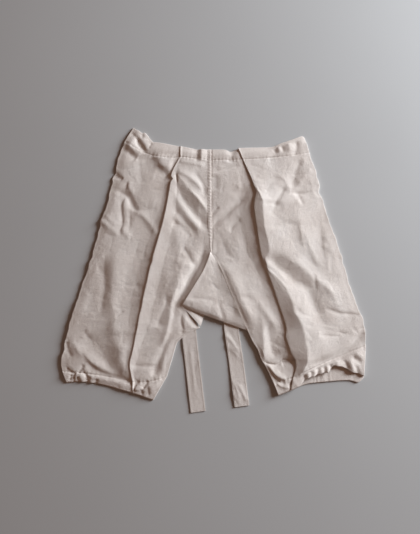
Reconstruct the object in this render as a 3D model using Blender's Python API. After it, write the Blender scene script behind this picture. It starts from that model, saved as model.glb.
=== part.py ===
"""A short cotton hakama laid flat, front up: pleated legs, gusset, gathered casings and two back ties.

Lengths are in millimetres until a mesh is made. +X runs to the right as it lies, +Y to the waist and +Z up.
"""

import math
from collections import namedtuple

import bmesh
import bpy

MM = 0.001

# Cloth and clearances
WALL = 1.3
CASING = 1.9
TIE_WALL = 1.2
SEAM_WALL = 1.0
SEAM_GAP = 0.3
PLEAT_GAP = 0.45
FLOOR = 0.0

# Pleats: how far the fold runs back under itself, and how soon the cloth comes down again beside it
PLEAT_DEPTH = 20.0
PLEAT_SLOPE = 26.0

# How the front stands off the back: its loft, how far in from an edge the loft is full, and its limits
LOFT = 2.2
LOFT_EDGE = 30.0
LEAST_LOFT = 0.25
MOST_LOFT = 3.5
MOST_RISE = 3.6

# What is left of the loft in the gusset, and what a pleat presses out of the cloth beside it
GUSSET_LOFT = 0.8
PRESSED_OUT = 0.65

# A row counts as this far from the panel's end, and each row further in as this much more
END_REACH = 6.0
ROW_REACH = 16.0

# Width of the felled seam on each leg
FELL = 5.0

# Gathers on the elastic, and the share of a casing's length over which they fade
GATHER_HEIGHT = 0.9
WAIST_GATHERS = 9
CUFF_GATHERS = 11
GATHER_FADE = 0.03

# The pleat's step in a casing, and the shares of its length over which it rises and falls
CASING_PLEAT = 1.6
PLEAT_START = 0.02
PLEAT_END = 0.05

# Steps along and across the panels
ROW_STEPS = 2
SIDE_COLUMNS = 8
CENTRE_COLUMNS = 7
FLATTENED_COLUMNS = 3
CASING_STEPS = 3
EDGE_STEPS = 8
TIE_STEPS = 3
SHARP_ANGLE = math.radians(35)

# Columns of the pleat's fold and of its inner turn
FOLD_COLUMN = SIDE_COLUMNS
TURN_COLUMN = SIDE_COLUMNS + 2

# Sections where the gusset starts and ends, and where the seam edge turns sharply
APEX_ROW = 6
CORNER_ROW = 10
SEAM_CORNERS = (APEX_ROW, CORNER_ROW, 12)

# The gusset starts this share of a row below its apex, where it is wide enough to sew
APEX_SHARE = 0.3

# A section of a leg: its left edge, pleat fold and right edge, then how far the line between them bows up
Section = namedtuple("Section", "left fold right left_bow right_bow")

LEFT_LEG = (
    Section((-181, 258), (-62, 221), (-2, 215), -14, 0),
    Section((-190, 229), (-73, 200), (-2, 196), -8, 0),
    Section((-198, 190), (-80, 181), (-2, 174), -3, 0),
    Section((-205, 154), (-82, 159), (-2, 145), 0, 0),
    Section((-213, 111), (-87, 125), (-2, 110), 0, 0),
    Section((-224, 70), (-95, 80), (-1, 65), 0, 0),
    Section((-234, 20), (-110, 20), (1, 15), 0, 0),
    Section((-242, -14), (-118, -13), (-11, -19), 0, 0),
    Section((-252, -48), (-124, -45), (-28, -49), 0, 0),
    Section((-260, -76), (-130, -75), (-44, -76), 0, 0),
    Section((-266, -97), (-133, -96), (-54, -93), 0, 0),
    Section((-270, -117), (-137, -114), (-37, -114), 0, 0),
    Section((-275, -139), (-140, -136), (-20, -135), 0, 0),
    Section((-278, -155), (-143, -151), (-44, -147), 0, 0),
    Section((-280, -169), (-145, -166), (-62, -162), 0, 0),
    Section((-282, -184), (-148, -182), (-68, -178), 0, 0),
    Section((-284, -201), (-152, -205), (-73, -196), 1, -2),
    Section((-282, -217), (-146, -237), (-82, -227), 3, -4),
)

RIGHT_LEG = (
    Section((-2, 215), (69, 216), (209, 232), 0, -3),
    Section((-2, 196), (79, 191), (217, 203), 0, 0),
    Section((-2, 174), (88, 167), (224, 172), 0, 0),
    Section((-2, 145), (94, 140), (227, 142), 0, 0),
    Section((-2, 110), (90, 110), (237, 104), 0, 0),
    Section((-1, 65), (95, 65), (247, 66), 0, 0),
    Section((1, 15), (102, 12), (262, 12), 0, 0),
    Section((19, -14), (113, -22), (270, -25), 0, 0),
    Section((34, -51), (124, -55), (278, -59), 0, 0),
    Section((53, -96), (136, -95), (288, -95), 0, 0),
    Section((72, -140), (147, -132), (298, -118), 0, 2),
    Section((81, -160), (148, -158), (299, -132), 0, 4),
    Section((91, -176), (155, -183), (300, -144), 0, 7),
    Section((98, -196), (162, -196), (300, -153), 0, 6),
    Section((107, -211), (163, -211), (300, -161), 0, 5),
    Section((120, -240), (157, -229), (300, -169), 0, 2),
)

# The right leg's hem is drawn up in front, so its back has sections of its own from the gusset's corner down
RIGHT_BACK = RIGHT_LEG[:CORNER_ROW] + (
    Section((72, -140), (147, -132), (298, -130), 0, 0),
    Section((81, -160), (148, -158), (300, -160), 0, 1),
    Section((91, -176), (155, -183), (300, -174), 0, 3),
    Section((98, -196), (162, -196), (298, -186), 0, 4),
    Section((107, -211), (163, -211), (296, -195), 0, 5),
    Section((120, -240), (157, -229), (295, -203), 0, 6),
)

# Outer edges of the casings, from left to right
WAIST_LEFT = (
    (-163, 290), (-146, 278), (-136, 276), (-122, 258), (-108, 255), (-63, 246), (-24, 239), (-2, 240),
)
WAIST_RIGHT = (
    (-2, 240), (30, 239), (43, 234), (53, 238), (65, 242), (128, 245), (150, 253), (173, 261), (194, 270),
    (200, 267),
)
HEM_LEFT = ((-271, -238), (-246, -236), (-211, -240), (-179, -248), (-145, -257), (-130, -262), (-107, -270))
HEM_RIGHT_FRONT = (
    (129, -261), (152, -252), (167, -245), (177, -233), (187, -221), (204, -216), (220, -212), (232, -207),
    (249, -210), (264, -216), (282, -223), (291, -226),
)
HEM_RIGHT_BACK = ((129, -261), (153, -252), (179, -241), (206, -237), (261, -233), (280, -237), (292, -228))

# A casing: its outer edge, the shares of its length that are drawn up, and where a pleat runs through
Casing = namedtuple("Casing", "edge drawn pleat")
WAIST_CASINGS = {
    "left": Casing(WAIST_LEFT, ((0.04, 0.34), (0.78, 0.97)), (0.62, 0.80)),
    "right": Casing(WAIST_RIGHT, ((0.05, 0.26), (0.60, 0.92)), (0.32, 0.46)),
}
CUFF_DRAWN = ((0.02, 0.30), (0.60, 0.95))

# The corner of the gusset's back half that shows below its folded edge: shares across and the points that
# they drop to. Then the shares across of the gusset's other columns.
TUCK = ((0.0, (-52.5, -94)), (0.13, (-35, -114)), (0.27, (-18, -133)), (0.33, (-11, -109)))
GUSSET_COLUMNS = (0.42, 0.5, 0.58, 0.67, 0.76, 0.86, 0.93, 1.0)

# Ties: width, and the middle line from the back waist to the free end
TIE_WIDTH = 28.0
TIE_PLATEAU = 27.0
TIE_RAMP = 18.0
TIE_LINES = {
    "tie_left": ((-42, 214), (-44, 110), (-46, 10), (-44, -80), (-40, -147), (-31, -220), (-22, -291)),
    "tie_right": ((40, 213), (38, 110), (37, 20), (38, -60), (41, -129), (51, -205), (60, -281)),
}

# A fold in the front cloth: its two ends, how far it spreads and how high it stands, a trough below nought.
# It fades over a share of its length at each end, from a start above nothing.
Fold = namedtuple("Fold", "x0 y0 x1 y1 spread height")
FOLD_FADE = 0.25
FOLD_START = 0.3

FOLDS = (
    Fold(-196, 160, -158, 105, 9, -1.6),
    Fold(-158, 118, -118, 60, 12, 1.4),
    Fold(-206, 95, -192, 55, 7, -1.2),
    Fold(-205, 10, -226, -105, 12, -1.5),
    Fold(-175, 10, -160, -140, 20, 1.2),
    Fold(-235, -150, -160, -215, 11, -1.8),
    Fold(-262, -185, -180, -222, 8, -1.5),
    Fold(-62, 198, -8, 158, 9, 1.4),
    Fold(-66, 165, -8, 112, 8, -1.4),
    Fold(-66, 140, -8, 82, 8, 1.3),
    Fold(-70, 100, -6, 50, 9, 1.1),
    Fold(-20, 20, -58, -80, 9, -1.6),
    Fold(-75, -150, -105, -215, 12, -1.5),
    Fold(-138, -208, -95, -210, 6, 1.0),
    Fold(22, 10, 60, -70, 9, 1.6),
    Fold(14, 60, 60, 115, 7, -1.2),
    Fold(118, 15, 235, -85, 14, -1.7),
    Fold(105, 5, 150, -50, 9, 1.6),
    Fold(160, 80, 205, -10, 12, -1.2),
    Fold(125, 118, 160, 150, 9, -1.2),
    Fold(100, -70, 122, -175, 12, 1.4),
    Fold(195, -196, 290, -130, 9, -1.6),
    Fold(185, -40, 200, -180, 22, 1.3),
)

# Pressed crease in the gusset
GUSSET_FOLDS = (
    Fold(-36, -78, 14, -84, 4, 1.0),
    Fold(14, -84, 26, -118, 4, 0.9),
    Fold(24, -50, 60, -120, 8, -0.9),
)

# Colour and roughness
COTTON = ((0.72, 0.66, 0.61, 1.0), 0.85)
COTTON_TWICE = ((0.76, 0.70, 0.65, 1.0), 0.85)
TIE_COTTON = ((0.66, 0.61, 0.57, 1.0), 0.85)


def clear_scene():
    for old in list(bpy.data.objects):
        bpy.data.objects.remove(old, do_unlink=True)


def material(name, look):
    made = bpy.data.materials.get(name) or bpy.data.materials.new(name)
    made.use_nodes = True
    shader = made.node_tree.nodes["Principled BSDF"]
    shader.inputs["Base Color"].default_value = look[0]
    shader.inputs["Roughness"].default_value = look[1]
    shader.inputs["Metallic"].default_value = 0.0
    return made


def ease(t):
    """0 below nought, 1 above one and a soft rise between."""
    t = min(max(t, 0.0), 1.0)
    return t * t * (3.0 - 2.0 * t)


def arch(t):
    """0 at both ends and 1 in the middle."""
    return 4.0 * t * (1.0 - t)


def mix(a, b, t):
    return tuple(p + (q - p) * t for p, q in zip(a, b))


def slide(a, b, distance):
    """The point this far from a on the way to b."""
    return mix(a, b, distance / math.dist(a, b))


def curve_value(values, t, corners=()):
    """The smooth curve through rows of numbers at place t, counted in rows, with sharp turns at corners."""
    last = len(values) - 1
    k = min(int(t), last - 1)
    f = t - k
    before, start, end, after = (values[min(max(k + d, 0), last)] for d in (-1, 0, 1, 2))
    before = start if k in corners else before
    after = end if k + 1 in corners else after
    found = []
    for a, b, c, d in zip(before, start, end, after):
        slope_in, slope_out, step = (c - a) / 2.0, (d - b) / 2.0, c - b
        bend = 3.0 * step - 2.0 * slope_in - slope_out
        twist = slope_in + slope_out - 2.0 * step
        found.append(b + f * (slope_in + f * (bend + f * twist)))
    return tuple(found)


def dense_sections(leg):
    """The leg's sections with more between them, its seam edge drawn in by what parts the pieces."""
    on_right = leg is not LEFT_LEG
    seam = [s.left if on_right else s.right for s in leg]
    free = [s.right if on_right else s.left for s in leg]
    flat = [(*edge, *s.fold, s.left_bow, s.right_bow) for edge, s in zip(free, leg)]
    rows = []
    for k in range((len(leg) - 1) * ROW_STEPS + 1):
        t = k / ROW_STEPS
        v = curve_value(flat, t)
        x, y = curve_value(seam, t, SEAM_CORNERS)
        ends = ((x + SEAM_GAP, y), v[0:2]) if on_right else (v[0:2], (x - SEAM_GAP, y))
        rows.append(Section(ends[0], v[2:4], ends[1], *v[4:6]))
    return rows


def along(points, t):
    """The point at share t of the length of a line of points."""
    lengths = [math.dist(a, b) for a, b in zip(points, points[1:])]
    left = t * sum(lengths)
    for a, b, length in zip(points, points[1:], lengths):
        if left <= length:
            return mix(a, b, left / length)
        left -= length
    return points[-1]


def tie_rise(x, y):
    """How far the cloth is lifted by the ties that lie under it."""
    rise = 0.0
    for line in TIE_LINES.values():
        near = min(segment_place(x, y, a, b)[0] for a, b in zip(line, line[1:]))
        rise = max(rise, ease(1.0 - (near - TIE_PLATEAU) / TIE_RAMP))
    return rise * (TIE_WALL + SEAM_GAP)


def segment_place(x, y, a, b):
    """Distance from a segment, and the share of its length at the nearest point."""
    dx, dy = b[0] - a[0], b[1] - a[1]
    share = ((x - a[0]) * dx + (y - a[1]) * dy) / (dx * dx + dy * dy)
    share = min(max(share, 0.0), 1.0)
    return math.hypot(x - a[0] - share * dx, y - a[1] - share * dy), share


def folds_at(x, y, folds):
    """Height that the folds give the cloth at a place. Each fades towards its ends."""
    total = 0.0
    for fold in folds:
        away, share = segment_place(x, y, (fold.x0, fold.y0), (fold.x1, fold.y1))
        ends = ease(min(share, 1.0 - share) / FOLD_FADE + FOLD_START)
        total += fold.height * ends * math.exp(-((away / fold.spread) ** 2))
    return total


def loft_at(x, y, edge_distance, folds=FOLDS):
    """How far the front stands off the back, nothing at a seam and never so far that the two part."""
    raised = LOFT + folds_at(x, y, folds)
    return min(max(raised, LEAST_LOFT), MOST_LOFT) * ease(edge_distance / LOFT_EDGE)


def section_columns(section):
    """Points across a section, the pleat's fold and its inner turn among them."""
    left, fold, right, left_bow, right_bow = section
    width = math.dist(fold, right)
    turn = min(PLEAT_DEPTH / width, 0.5)
    last = 1.0 - FELL / width
    columns = []
    for k in range(SIDE_COLUMNS):
        t = k / SIDE_COLUMNS
        if k == 1:
            t = FELL / math.dist(left, fold)
        columns.append((left, fold, t, left_bow))
    for k in range(3):
        columns.append((fold, right, turn * k / 2.0, right_bow))
    for k in range(1, CENTRE_COLUMNS + 1):
        columns.append((fold, right, turn + (last - turn) * k / CENTRE_COLUMNS, right_bow))
    columns.append((fold, right, 1.0, right_bow))
    points = []
    for a, b, t, bow in columns:
        x, y = mix(a, b, t)
        points.append((x, y + bow * arch(t)))
    return points


def front_levels(points, row, rows):
    """Where a front panel's underside rests at each column of a row, and how far its loft lifts it there."""
    levels = []
    for x, y in points:
        side = min(math.dist((x, y), points[0]), math.dist((x, y), points[-1]))
        end = min(row, rows - 1 - row) * ROW_REACH + END_REACH
        base = tie_rise(x, y) + WALL + SEAM_GAP
        levels.append((base, loft_at(x, y, min(side, end))))
    return levels


def front_rows(leg):
    """Upper and lower points of a front panel whose pleat is folded to the left."""
    sections = dense_sections(leg)
    step = 2.0 * (WALL + PLEAT_GAP)
    upper, lower = [], []
    for row, section in enumerate(sections):
        points = section_columns(section)
        levels = front_levels(points, row, len(sections))
        in_fold = slide(points[FOLD_COLUMN], points[FOLD_COLUMN + 1], WALL)
        in_turn = slide(points[TURN_COLUMN], points[TURN_COLUMN - 1], WALL)
        over, under = [], []
        for k in range(TURN_COLUMN + 1):
            base, loft = levels[k]
            z = base + loft * ease((FOLD_COLUMN - k) / FLATTENED_COLUMNS)
            under.append((*points[k], z))
            over.append((*(in_turn if k == TURN_COLUMN else points[k]), z + WALL))
        for k in range(TURN_COLUMN, FOLD_COLUMN - 1, -1):
            z = levels[k][0] + WALL + PLEAT_GAP
            over.append((*(in_turn if k == TURN_COLUMN else points[k]), z))
            under.append((*(in_fold if k == FOLD_COLUMN else points[k]), z + WALL))
        for k in range(FOLD_COLUMN, len(points)):
            base, loft = levels[k]
            past = math.dist(points[k], points[TURN_COLUMN]) if k > TURN_COLUMN else 0.0
            fall = ease(1.0 - past / PLEAT_SLOPE)
            if k > TURN_COLUMN:
                fall *= ease(math.dist(points[k], points[-1]) / LOFT_EDGE)
            rise = step * fall + loft * (1.0 - PRESSED_OUT * ease(1.0 - past / PLEAT_SLOPE))
            z = base + (rise if k <= TURN_COLUMN else min(rise, MOST_RISE))
            under.append((*(in_fold if k == FOLD_COLUMN else points[k]), z))
            over.append((*points[k], z + WALL))
        upper.append(over)
        lower.append(under)
    return upper, lower


def back_rows(leg):
    """Upper and lower points of a back panel, flat on the floor but for the ties under it."""
    upper, lower = [], []
    for section in dense_sections(leg):
        under = [(x, y, FLOOR + tie_rise(x, y)) for x, y in section_columns(section)]
        lower.append(under)
        upper.append([(x, y, z + WALL) for x, y, z in under])
    return upper, lower


def end_line(leg, row):
    """Points across a panel's first or last row, counted from that end."""
    return section_columns(dense_sections(leg)[row])


def gusset_rows(left_points, right_points, columns):
    """Points across the gusset between two seams, a little clear of both."""
    first = [mix(line[0], line[1], APEX_SHARE) for line in (left_points, right_points)]
    pairs = [first, *zip(left_points[1:], right_points[1:])]
    rows = []
    for (ax, ay), (bx, by) in pairs:
        a, b = (ax + SEAM_GAP, ay), (bx - SEAM_GAP, by)
        rows.append([mix(a, b, t) for t in columns])
    return rows


def casing_rows(bottom, top_edge, gap_up):
    """Points of a casing from a panel's end row to its own outer edge, with steps between the columns."""
    line = []
    for a, b in zip(bottom, bottom[1:]):
        line += [mix(a, b, k / CASING_STEPS) for k in range(CASING_STEPS)]
    line.append(bottom[-1])
    lengths = [0.0]
    for a, b in zip(line, line[1:]):
        lengths.append(lengths[-1] + math.dist(a, b))
    shares = [length / lengths[-1] for length in lengths]
    steps = (len(top_edge) - 1) * EDGE_STEPS
    smooth_edge = [curve_value(top_edge, k / EDGE_STEPS) for k in range(steps + 1)]
    rows = []
    for t in (0.0, 0.5, 1.0):
        row = []
        for (x, y), share in zip(line, shares):
            near = (x, y + gap_up)
            row.append(mix(near, along(smooth_edge, share), t))
        rows.append(row)
    return rows, shares


def slab(name, upper, lower, look):
    """One closed wall from rows of upper and lower points, bridged ring by ring and capped at both ends."""
    mesh = bpy.data.meshes.new(name)
    shape = bmesh.new()
    rings = []
    for over, under in zip(upper, lower):
        ring = [shape.verts.new([c * MM for c in p]) for p in over]
        ring += [shape.verts.new([c * MM for c in p]) for p in reversed(under)]
        rings.append(ring)
    around = len(rings[0])
    for first, second in zip(rings, rings[1:]):
        for k in range(around):
            n = (k + 1) % around
            # Both sides of the wall are split along the same diagonal, so layers with the same points nest
            a, b, c, d = (first[k], second[k], second[n], first[n])
            if k >= around // 2:
                a, b, c, d = (b, c, d, a)
            shape.faces.new((a, b, c))
            shape.faces.new((a, c, d))
    for ring, turned in ((rings[0], False), (rings[-1], True)):
        for k in range(around // 2 - 1):
            corners = (ring[k], ring[k + 1], ring[-2 - k], ring[-1 - k])
            shape.faces.new(tuple(reversed(corners)) if turned else corners)
    bmesh.ops.recalc_face_normals(shape, faces=shape.faces)
    shape.to_mesh(mesh)
    shape.free()
    made = bpy.data.objects.new(name, mesh)
    bpy.context.scene.collection.objects.link(made)
    mesh.materials.append(look)
    mesh.shade_smooth()
    mesh.set_sharp_from_angle(angle=SHARP_ANGLE)
    return made


def raised(rows, height, wall):
    """Upper and lower points of a flat strip, its height worked out at each point."""
    lower = [[(x, y, height(x, y)) for x, y in row] for row in rows]
    upper = [[(x, y, z + wall) for x, y, z in row] for row in lower]
    return upper, lower


def gathered(upper, shares, gathers, spans):
    """Ribs raised in a casing's upper points, within the shares of its length that are drawn up."""
    out = []
    for row in upper:
        line = []
        for (x, y, z), share in zip(row, shares):
            drawn = max(ease(min(share - a, b - share) / GATHER_FADE) for a, b in spans)
            rib = 0.5 + 0.5 * math.sin(2.0 * math.pi * gathers * share)
            line.append((x, y, z + GATHER_HEIGHT * rib * drawn))
        out.append(line)
    return out


def make_panels(cotton):
    """The front and back of each leg. Gives back the points that the other pieces are made from."""
    found = {}
    for side, front_leg, back_leg in (("left", LEFT_LEG, LEFT_LEG), ("right", RIGHT_LEG, RIGHT_BACK)):
        front, back = front_rows(front_leg), back_rows(back_leg)
        slab("front_" + side, *front, cotton)
        slab("back_" + side, *back, cotton)
        found[side] = (front, back)
    return found


def seam_points(panels):
    """Inner edges of the two legs from the gusset's apex to its corner."""
    rows = slice(APEX_ROW * ROW_STEPS, CORNER_ROW * ROW_STEPS + 1)
    left = [row[-1][:2] for row in panels["left"][1][1][rows]]
    right = [row[0][:2] for row in panels["right"][1][1][rows]]
    return left, right


def make_gusset(panels, cotton):
    """The gusset, folded along its lower edge, with a corner of its back half showing below."""
    left, right = seam_points(panels)
    columns = [share for share, _ in TUCK] + [*GUSSET_COLUMNS]
    rows = gusset_rows(left, right, columns)

    def front_height(x, y):
        across = min(math.dist((x, y), p) for p in left + right)
        return tie_rise(x, y) + WALL + SEAM_GAP + loft_at(x, y, across, GUSSET_FOLDS) * GUSSET_LOFT

    slab("gusset_front", *raised(rows, front_height, WALL), cotton)
    tuck = [point for _, point in TUCK]
    tuck += [(x, y - SEAM_GAP) for x, y in rows[-1][len(TUCK) :]]
    slab("gusset_back", *raised(rows + [tuck], tie_rise, WALL), cotton)


def make_centre_seam(panels, cotton):
    """The flat-felled strip down the front, from casing to gusset, made from the panels' points."""
    upper, lower = [], []
    for k in range(APEX_ROW * ROW_STEPS + 1):
        left_row, right_row = panels["left"][0][0][k], panels["right"][0][0][k]
        line = [*left_row[-2:], *right_row[:2]]
        lower.append([(x, y, z + SEAM_GAP) for x, y, z in line])
        upper.append([(x, y, z + SEAM_GAP + SEAM_WALL) for x, y, z in line])
    slab("centre_seam", upper, lower, cotton)


def pleat_lift(share, pleat):
    """How far the pleat that runs on through a casing raises it, at a share of its length."""
    return CASING_PLEAT * ease((share - pleat[0]) / PLEAT_START) * ease((pleat[1] - share) / PLEAT_END)


def make_waist(cotton):
    """The elastic casings round the top: two in front, one behind."""
    back_line, back_edge = [], []
    base = CASING + SEAM_GAP
    for side, leg in (("left", LEFT_LEG), ("right", RIGHT_LEG)):
        edge, drawn, pleat = WAIST_CASINGS[side]
        line = end_line(leg, 0)
        rows, shares = casing_rows(line, edge, SEAM_GAP)
        if side == "left":
            rows = [row[:-1] + [(row[-1][0] - SEAM_GAP, row[-1][1])] for row in rows]
        lower = [[(x, y, base) for x, y in row] for row in rows]
        top = [base + CASING + pleat_lift(share, pleat) for share in shares]
        upper = [[(x, y, z) for (x, y), z in zip(row, top)] for row in rows]
        slab("waist_front_" + side, gathered(upper, shares, WAIST_GATHERS, drawn), lower, cotton)
        back_line += line if side == "left" else line[1:]
        back_edge += edge if side == "left" else edge[1:]
    rows, _ = casing_rows(back_line, back_edge, SEAM_GAP)
    slab("waist_back", *raised(rows, lambda x, y: FLOOR, CASING), cotton)


def make_cuffs(cotton):
    """The elastic casings at the hems, front over back. The right one's mouth stands a little open."""
    for name, leg, edge, base, ribbed in (
        ("cuff_left_back", LEFT_LEG, HEM_LEFT, FLOOR, False),
        ("cuff_left_front", LEFT_LEG, HEM_LEFT, CASING + SEAM_GAP, True),
        ("cuff_right_back", RIGHT_BACK, HEM_RIGHT_BACK, FLOOR, True),
        ("cuff_right_front", RIGHT_LEG, HEM_RIGHT_FRONT, CASING + SEAM_GAP + GATHER_HEIGHT, True),
    ):
        rows, shares = casing_rows(end_line(leg, -1), edge, -SEAM_GAP)
        upper, lower = raised(rows, lambda x, y: base, CASING)
        if ribbed:
            upper = gathered(upper, shares, CUFF_GATHERS, CUFF_DRAWN)
        slab(name, upper, lower, cotton)


def make_ties(cotton):
    """Two flat ties on the floor, from under the back waist to their free ends."""
    for name, line in TIE_LINES.items():
        steps = (len(line) - 1) * TIE_STEPS
        middle = [curve_value(line, k / TIE_STEPS) for k in range(steps + 1)]
        rows = []
        for k, (x, y) in enumerate(middle):
            a, b = middle[max(k - 1, 0)], middle[min(k + 1, steps)]
            length = math.dist(a, b)
            across = (-(b[1] - a[1]) / length, (b[0] - a[0]) / length)
            half = TIE_WIDTH / 2.0
            rows.append([(x + across[0] * half * s, y + across[1] * half * s) for s in (-1, 0, 1)])
        slab(name, *raised(rows, lambda x, y: FLOOR, TIE_WALL), cotton)


def centre_on_floor():
    """Puts the middle of the garment's box over the origin."""
    made = [o for o in bpy.context.scene.objects if o.type == "MESH"]
    points = [v.co for o in made for v in o.data.vertices]
    middle = [(min(p[k] for p in points) + max(p[k] for p in points)) / 2.0 for k in (0, 1)]
    for o in made:
        for v in o.data.vertices:
            v.co.x -= middle[0]
            v.co.y -= middle[1]
    print("middle of the box, mm:", [round(m / MM, 3) for m in middle])


def main():
    clear_scene()
    cotton = material("Cotton", COTTON)
    casing = material("Casing", COTTON_TWICE)
    panels = make_panels(cotton)
    make_gusset(panels, cotton)
    make_centre_seam(panels, casing)
    make_waist(casing)
    make_cuffs(casing)
    make_ties(material("TieCotton", TIE_COTTON))
    centre_on_floor()


if __name__ == "__main__":
    main()
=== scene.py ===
"""The looks of a short cotton hakama laid flat with its front up.

Tables hold millimetres as the garment lies on its table: +X to the right, +Y to the waist, +Z up.
"""

import functools
import math
from collections import namedtuple

import bpy
import numpy as np
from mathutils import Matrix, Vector
from mathutils.bvhtree import BVHTree


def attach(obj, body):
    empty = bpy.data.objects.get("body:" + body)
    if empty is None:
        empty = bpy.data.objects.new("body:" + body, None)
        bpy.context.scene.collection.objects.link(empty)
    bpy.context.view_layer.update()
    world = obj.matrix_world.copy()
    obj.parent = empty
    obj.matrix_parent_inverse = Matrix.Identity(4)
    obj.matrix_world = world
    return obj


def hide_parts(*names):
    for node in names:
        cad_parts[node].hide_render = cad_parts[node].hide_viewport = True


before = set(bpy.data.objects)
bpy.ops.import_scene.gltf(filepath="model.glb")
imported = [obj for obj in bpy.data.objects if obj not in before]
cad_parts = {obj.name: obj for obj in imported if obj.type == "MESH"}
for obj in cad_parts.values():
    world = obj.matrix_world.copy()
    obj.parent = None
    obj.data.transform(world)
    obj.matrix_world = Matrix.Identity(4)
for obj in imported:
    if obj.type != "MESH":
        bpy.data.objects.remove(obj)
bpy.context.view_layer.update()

bl_info = {
    "name": "Flat Hakama",
    "version": (1, 0, 0),
    "blender": (4, 5, 0),
    "location": "View3D > Sidebar > Hakama",
    "description": "Sews a short cotton hakama laid flat",
    "category": "Add Mesh",
}

MM = 0.001

# The middle of the garment's box on the table, and where the camera aims
MIDDLE = (8.125, -1.384)
AIM = (0.0, -14.0)

# Heights of the cloth's middle surface over the floor, and how far the ties lift the cloth over them
TIE_Z = 0.56
BACK_Z = 0.42
FRONT_Z = 1.45
LOFT_Z = 4.4
EDGE_BOTTOM = 0.45
LAYER = 0.62
TIE_LIFT = 1.15

# Mesh steps: along a panel between two rows of its table, along a casing and its outer edge, and across
STEPS = 13
BACK_STEPS = 5
EDGE_STEPS = 6
CASING_ROWS = 14
SIDE_COLUMNS = 72
BAND_COLUMNS = 10
CENTRE_COLUMNS = 58
HIDDEN_COLUMNS = 8
BACK_COLUMNS = 26
CASING_COLUMNS = 150
GUSSET_COLUMNS = 56
ROLL_STEPS = 6

# The gusset's column where its back half comes out from under the fold
GUSSET_FOLD_COLUMN = 30

# Steps round a rolled edge, and round the pleat's two turns
ROLL_ANGLES = np.linspace(0, math.pi, ROLL_STEPS + 1)[1:]
TURN_ANGLES = np.radians([45, 90, 135])

# Rows of the leg tables: the gusset's top, its side corners, and where the inner edge turns sharply
APEX_ROW = 6
CORNER_ROW = 10
SEAM_CORNERS = (APEX_ROW, CORNER_ROW, 12)

# Widths and depths of the sewing
PLEAT_DEPTH = 20.0
TIE_WIDTH = 28.0
TIE_HEM = 2.4
STRIP_HALF = 4.8
CASING_INSET = 1.4
BACK_INSET = 4.6
BACK_SEAM_INSET = 0.4
GUSSET_OVERLAP = 0.6
TUCK_RISE = 3.0

# Where the centre seam starts, and how far out on its strip the stitches run, as a share of its half width
SEAM_TOP = (-2, 237)
SEAM_STITCHES = 0.82

# A stitch's thickness, as a share of its thread's
STITCH_FLAT = 0.62

# How far a side edge's height runs into the cloth, and how far the edge rounds out, as a share of its height
EDGE_RUN = 17.0
ROLL_SHARE = {"left": 0.2, "right": 0.14}

# The place down each leg as far as which its inner edge is sewn
SEWN_DOWN_TO = {"left": -95, "right": -142}

# How much higher or lower than its middle a casing's outer edge lies
WAIST_EDGE_RISE = -1.0
HEM_EDGE_RISE = {"left": -1.2, "right": 1.6}

# Columns and rows that a casing's puffs and the felled strip's top are averaged over
PUFF_COLUMNS = 13
LEVEL_ROWS = 9

# How much higher the folds stand than the heights in their tables, and how far they reach, in spreads
FOLD_GAIN = {"left": 2.3, "right": 2.0, "gusset": 1.3}
FOLD_REACH = 3.2

# A fold's height at its ends, as a share of the whole, and the share of its length that it fades over
FOLD_END = 0.22
FOLD_END_RUN = 0.2

# The side of a narrow crease that faces the light is this much gentler, up to a spread in millimetres
GENTLE = 2.0
GENTLE_UP_TO = 9.0

# Small random creases: ranges of their sizes, then seed, box, number and favoured angle for each cloth
CRUMPLE_LENGTH = (8, 38)
CRUMPLE_SPREAD = (1.3, 3.8)
CRUMPLE_HEIGHT = (0.15, 0.6)
LEG_CRUMPLES = {"left": (11, (-285, -270), (0, 280), 340), "right": (12, (0, -265), (300, 270), 340)}
GUSSET_CRUMPLES = (31, (-60, -140), (80, 20), 60)
TIE_CRUMPLES = (51, (-70, -300), (90, -110), 46, 0.8)

# Slow rise and fall: its waves, then the seed for each stretch of cloth
SWELL_WAVES = 14
SWELL_LENGTH = (38, 130)
LEG_SWELL = 3
GUSSET_SWELL = 5
BACK_SWELL = 21
TIE_SWELL = {"left": 41, "right": 42}

# The cotton: its shader, the depth of its crumples and weave in metres, and the painted shade between its
# threads, as a share of its duller colour
COTTON_SHADER = {"Roughness": 0.88, "Specular IOR Level": 0.25, "Sheen Weight": 0.12, "Sheen Roughness": 0.5}
CRUMPLE_DEPTH = 0.0030
WEAVE_DEPTH = 0.00014
PAINTED_SHADE_BETWEEN_THREADS = (0.6, 0.57, 0.53)

# The floor's width in metres, and the colours of the key light, the light all round and the backdrop
FLOOR_WIDTH = 3.4
KEY_COLOUR = (0.88, 0.945, 1.0)
FILL_COLOUR = (1.0, 0.60, 0.42, 1.0)
BACKDROP_COLOUR = (1.4, 1.4, 1.4, 1.0)

# What can lie on top of a leg: the panels and waist casings first, then the cuffs
FRONT_PIECES = (
    "panel_front_left", "panel_front_right", "casing_waist_left", "casing_waist_right",
    "casing_cuff_left", "casing_cuff_right",
)

# A section of a leg: its left edge, pleat fold and right edge, then how far the line between them bows up
Section = namedtuple("Section", "left fold right left_bow right_bow", defaults=(0, 0))

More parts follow.
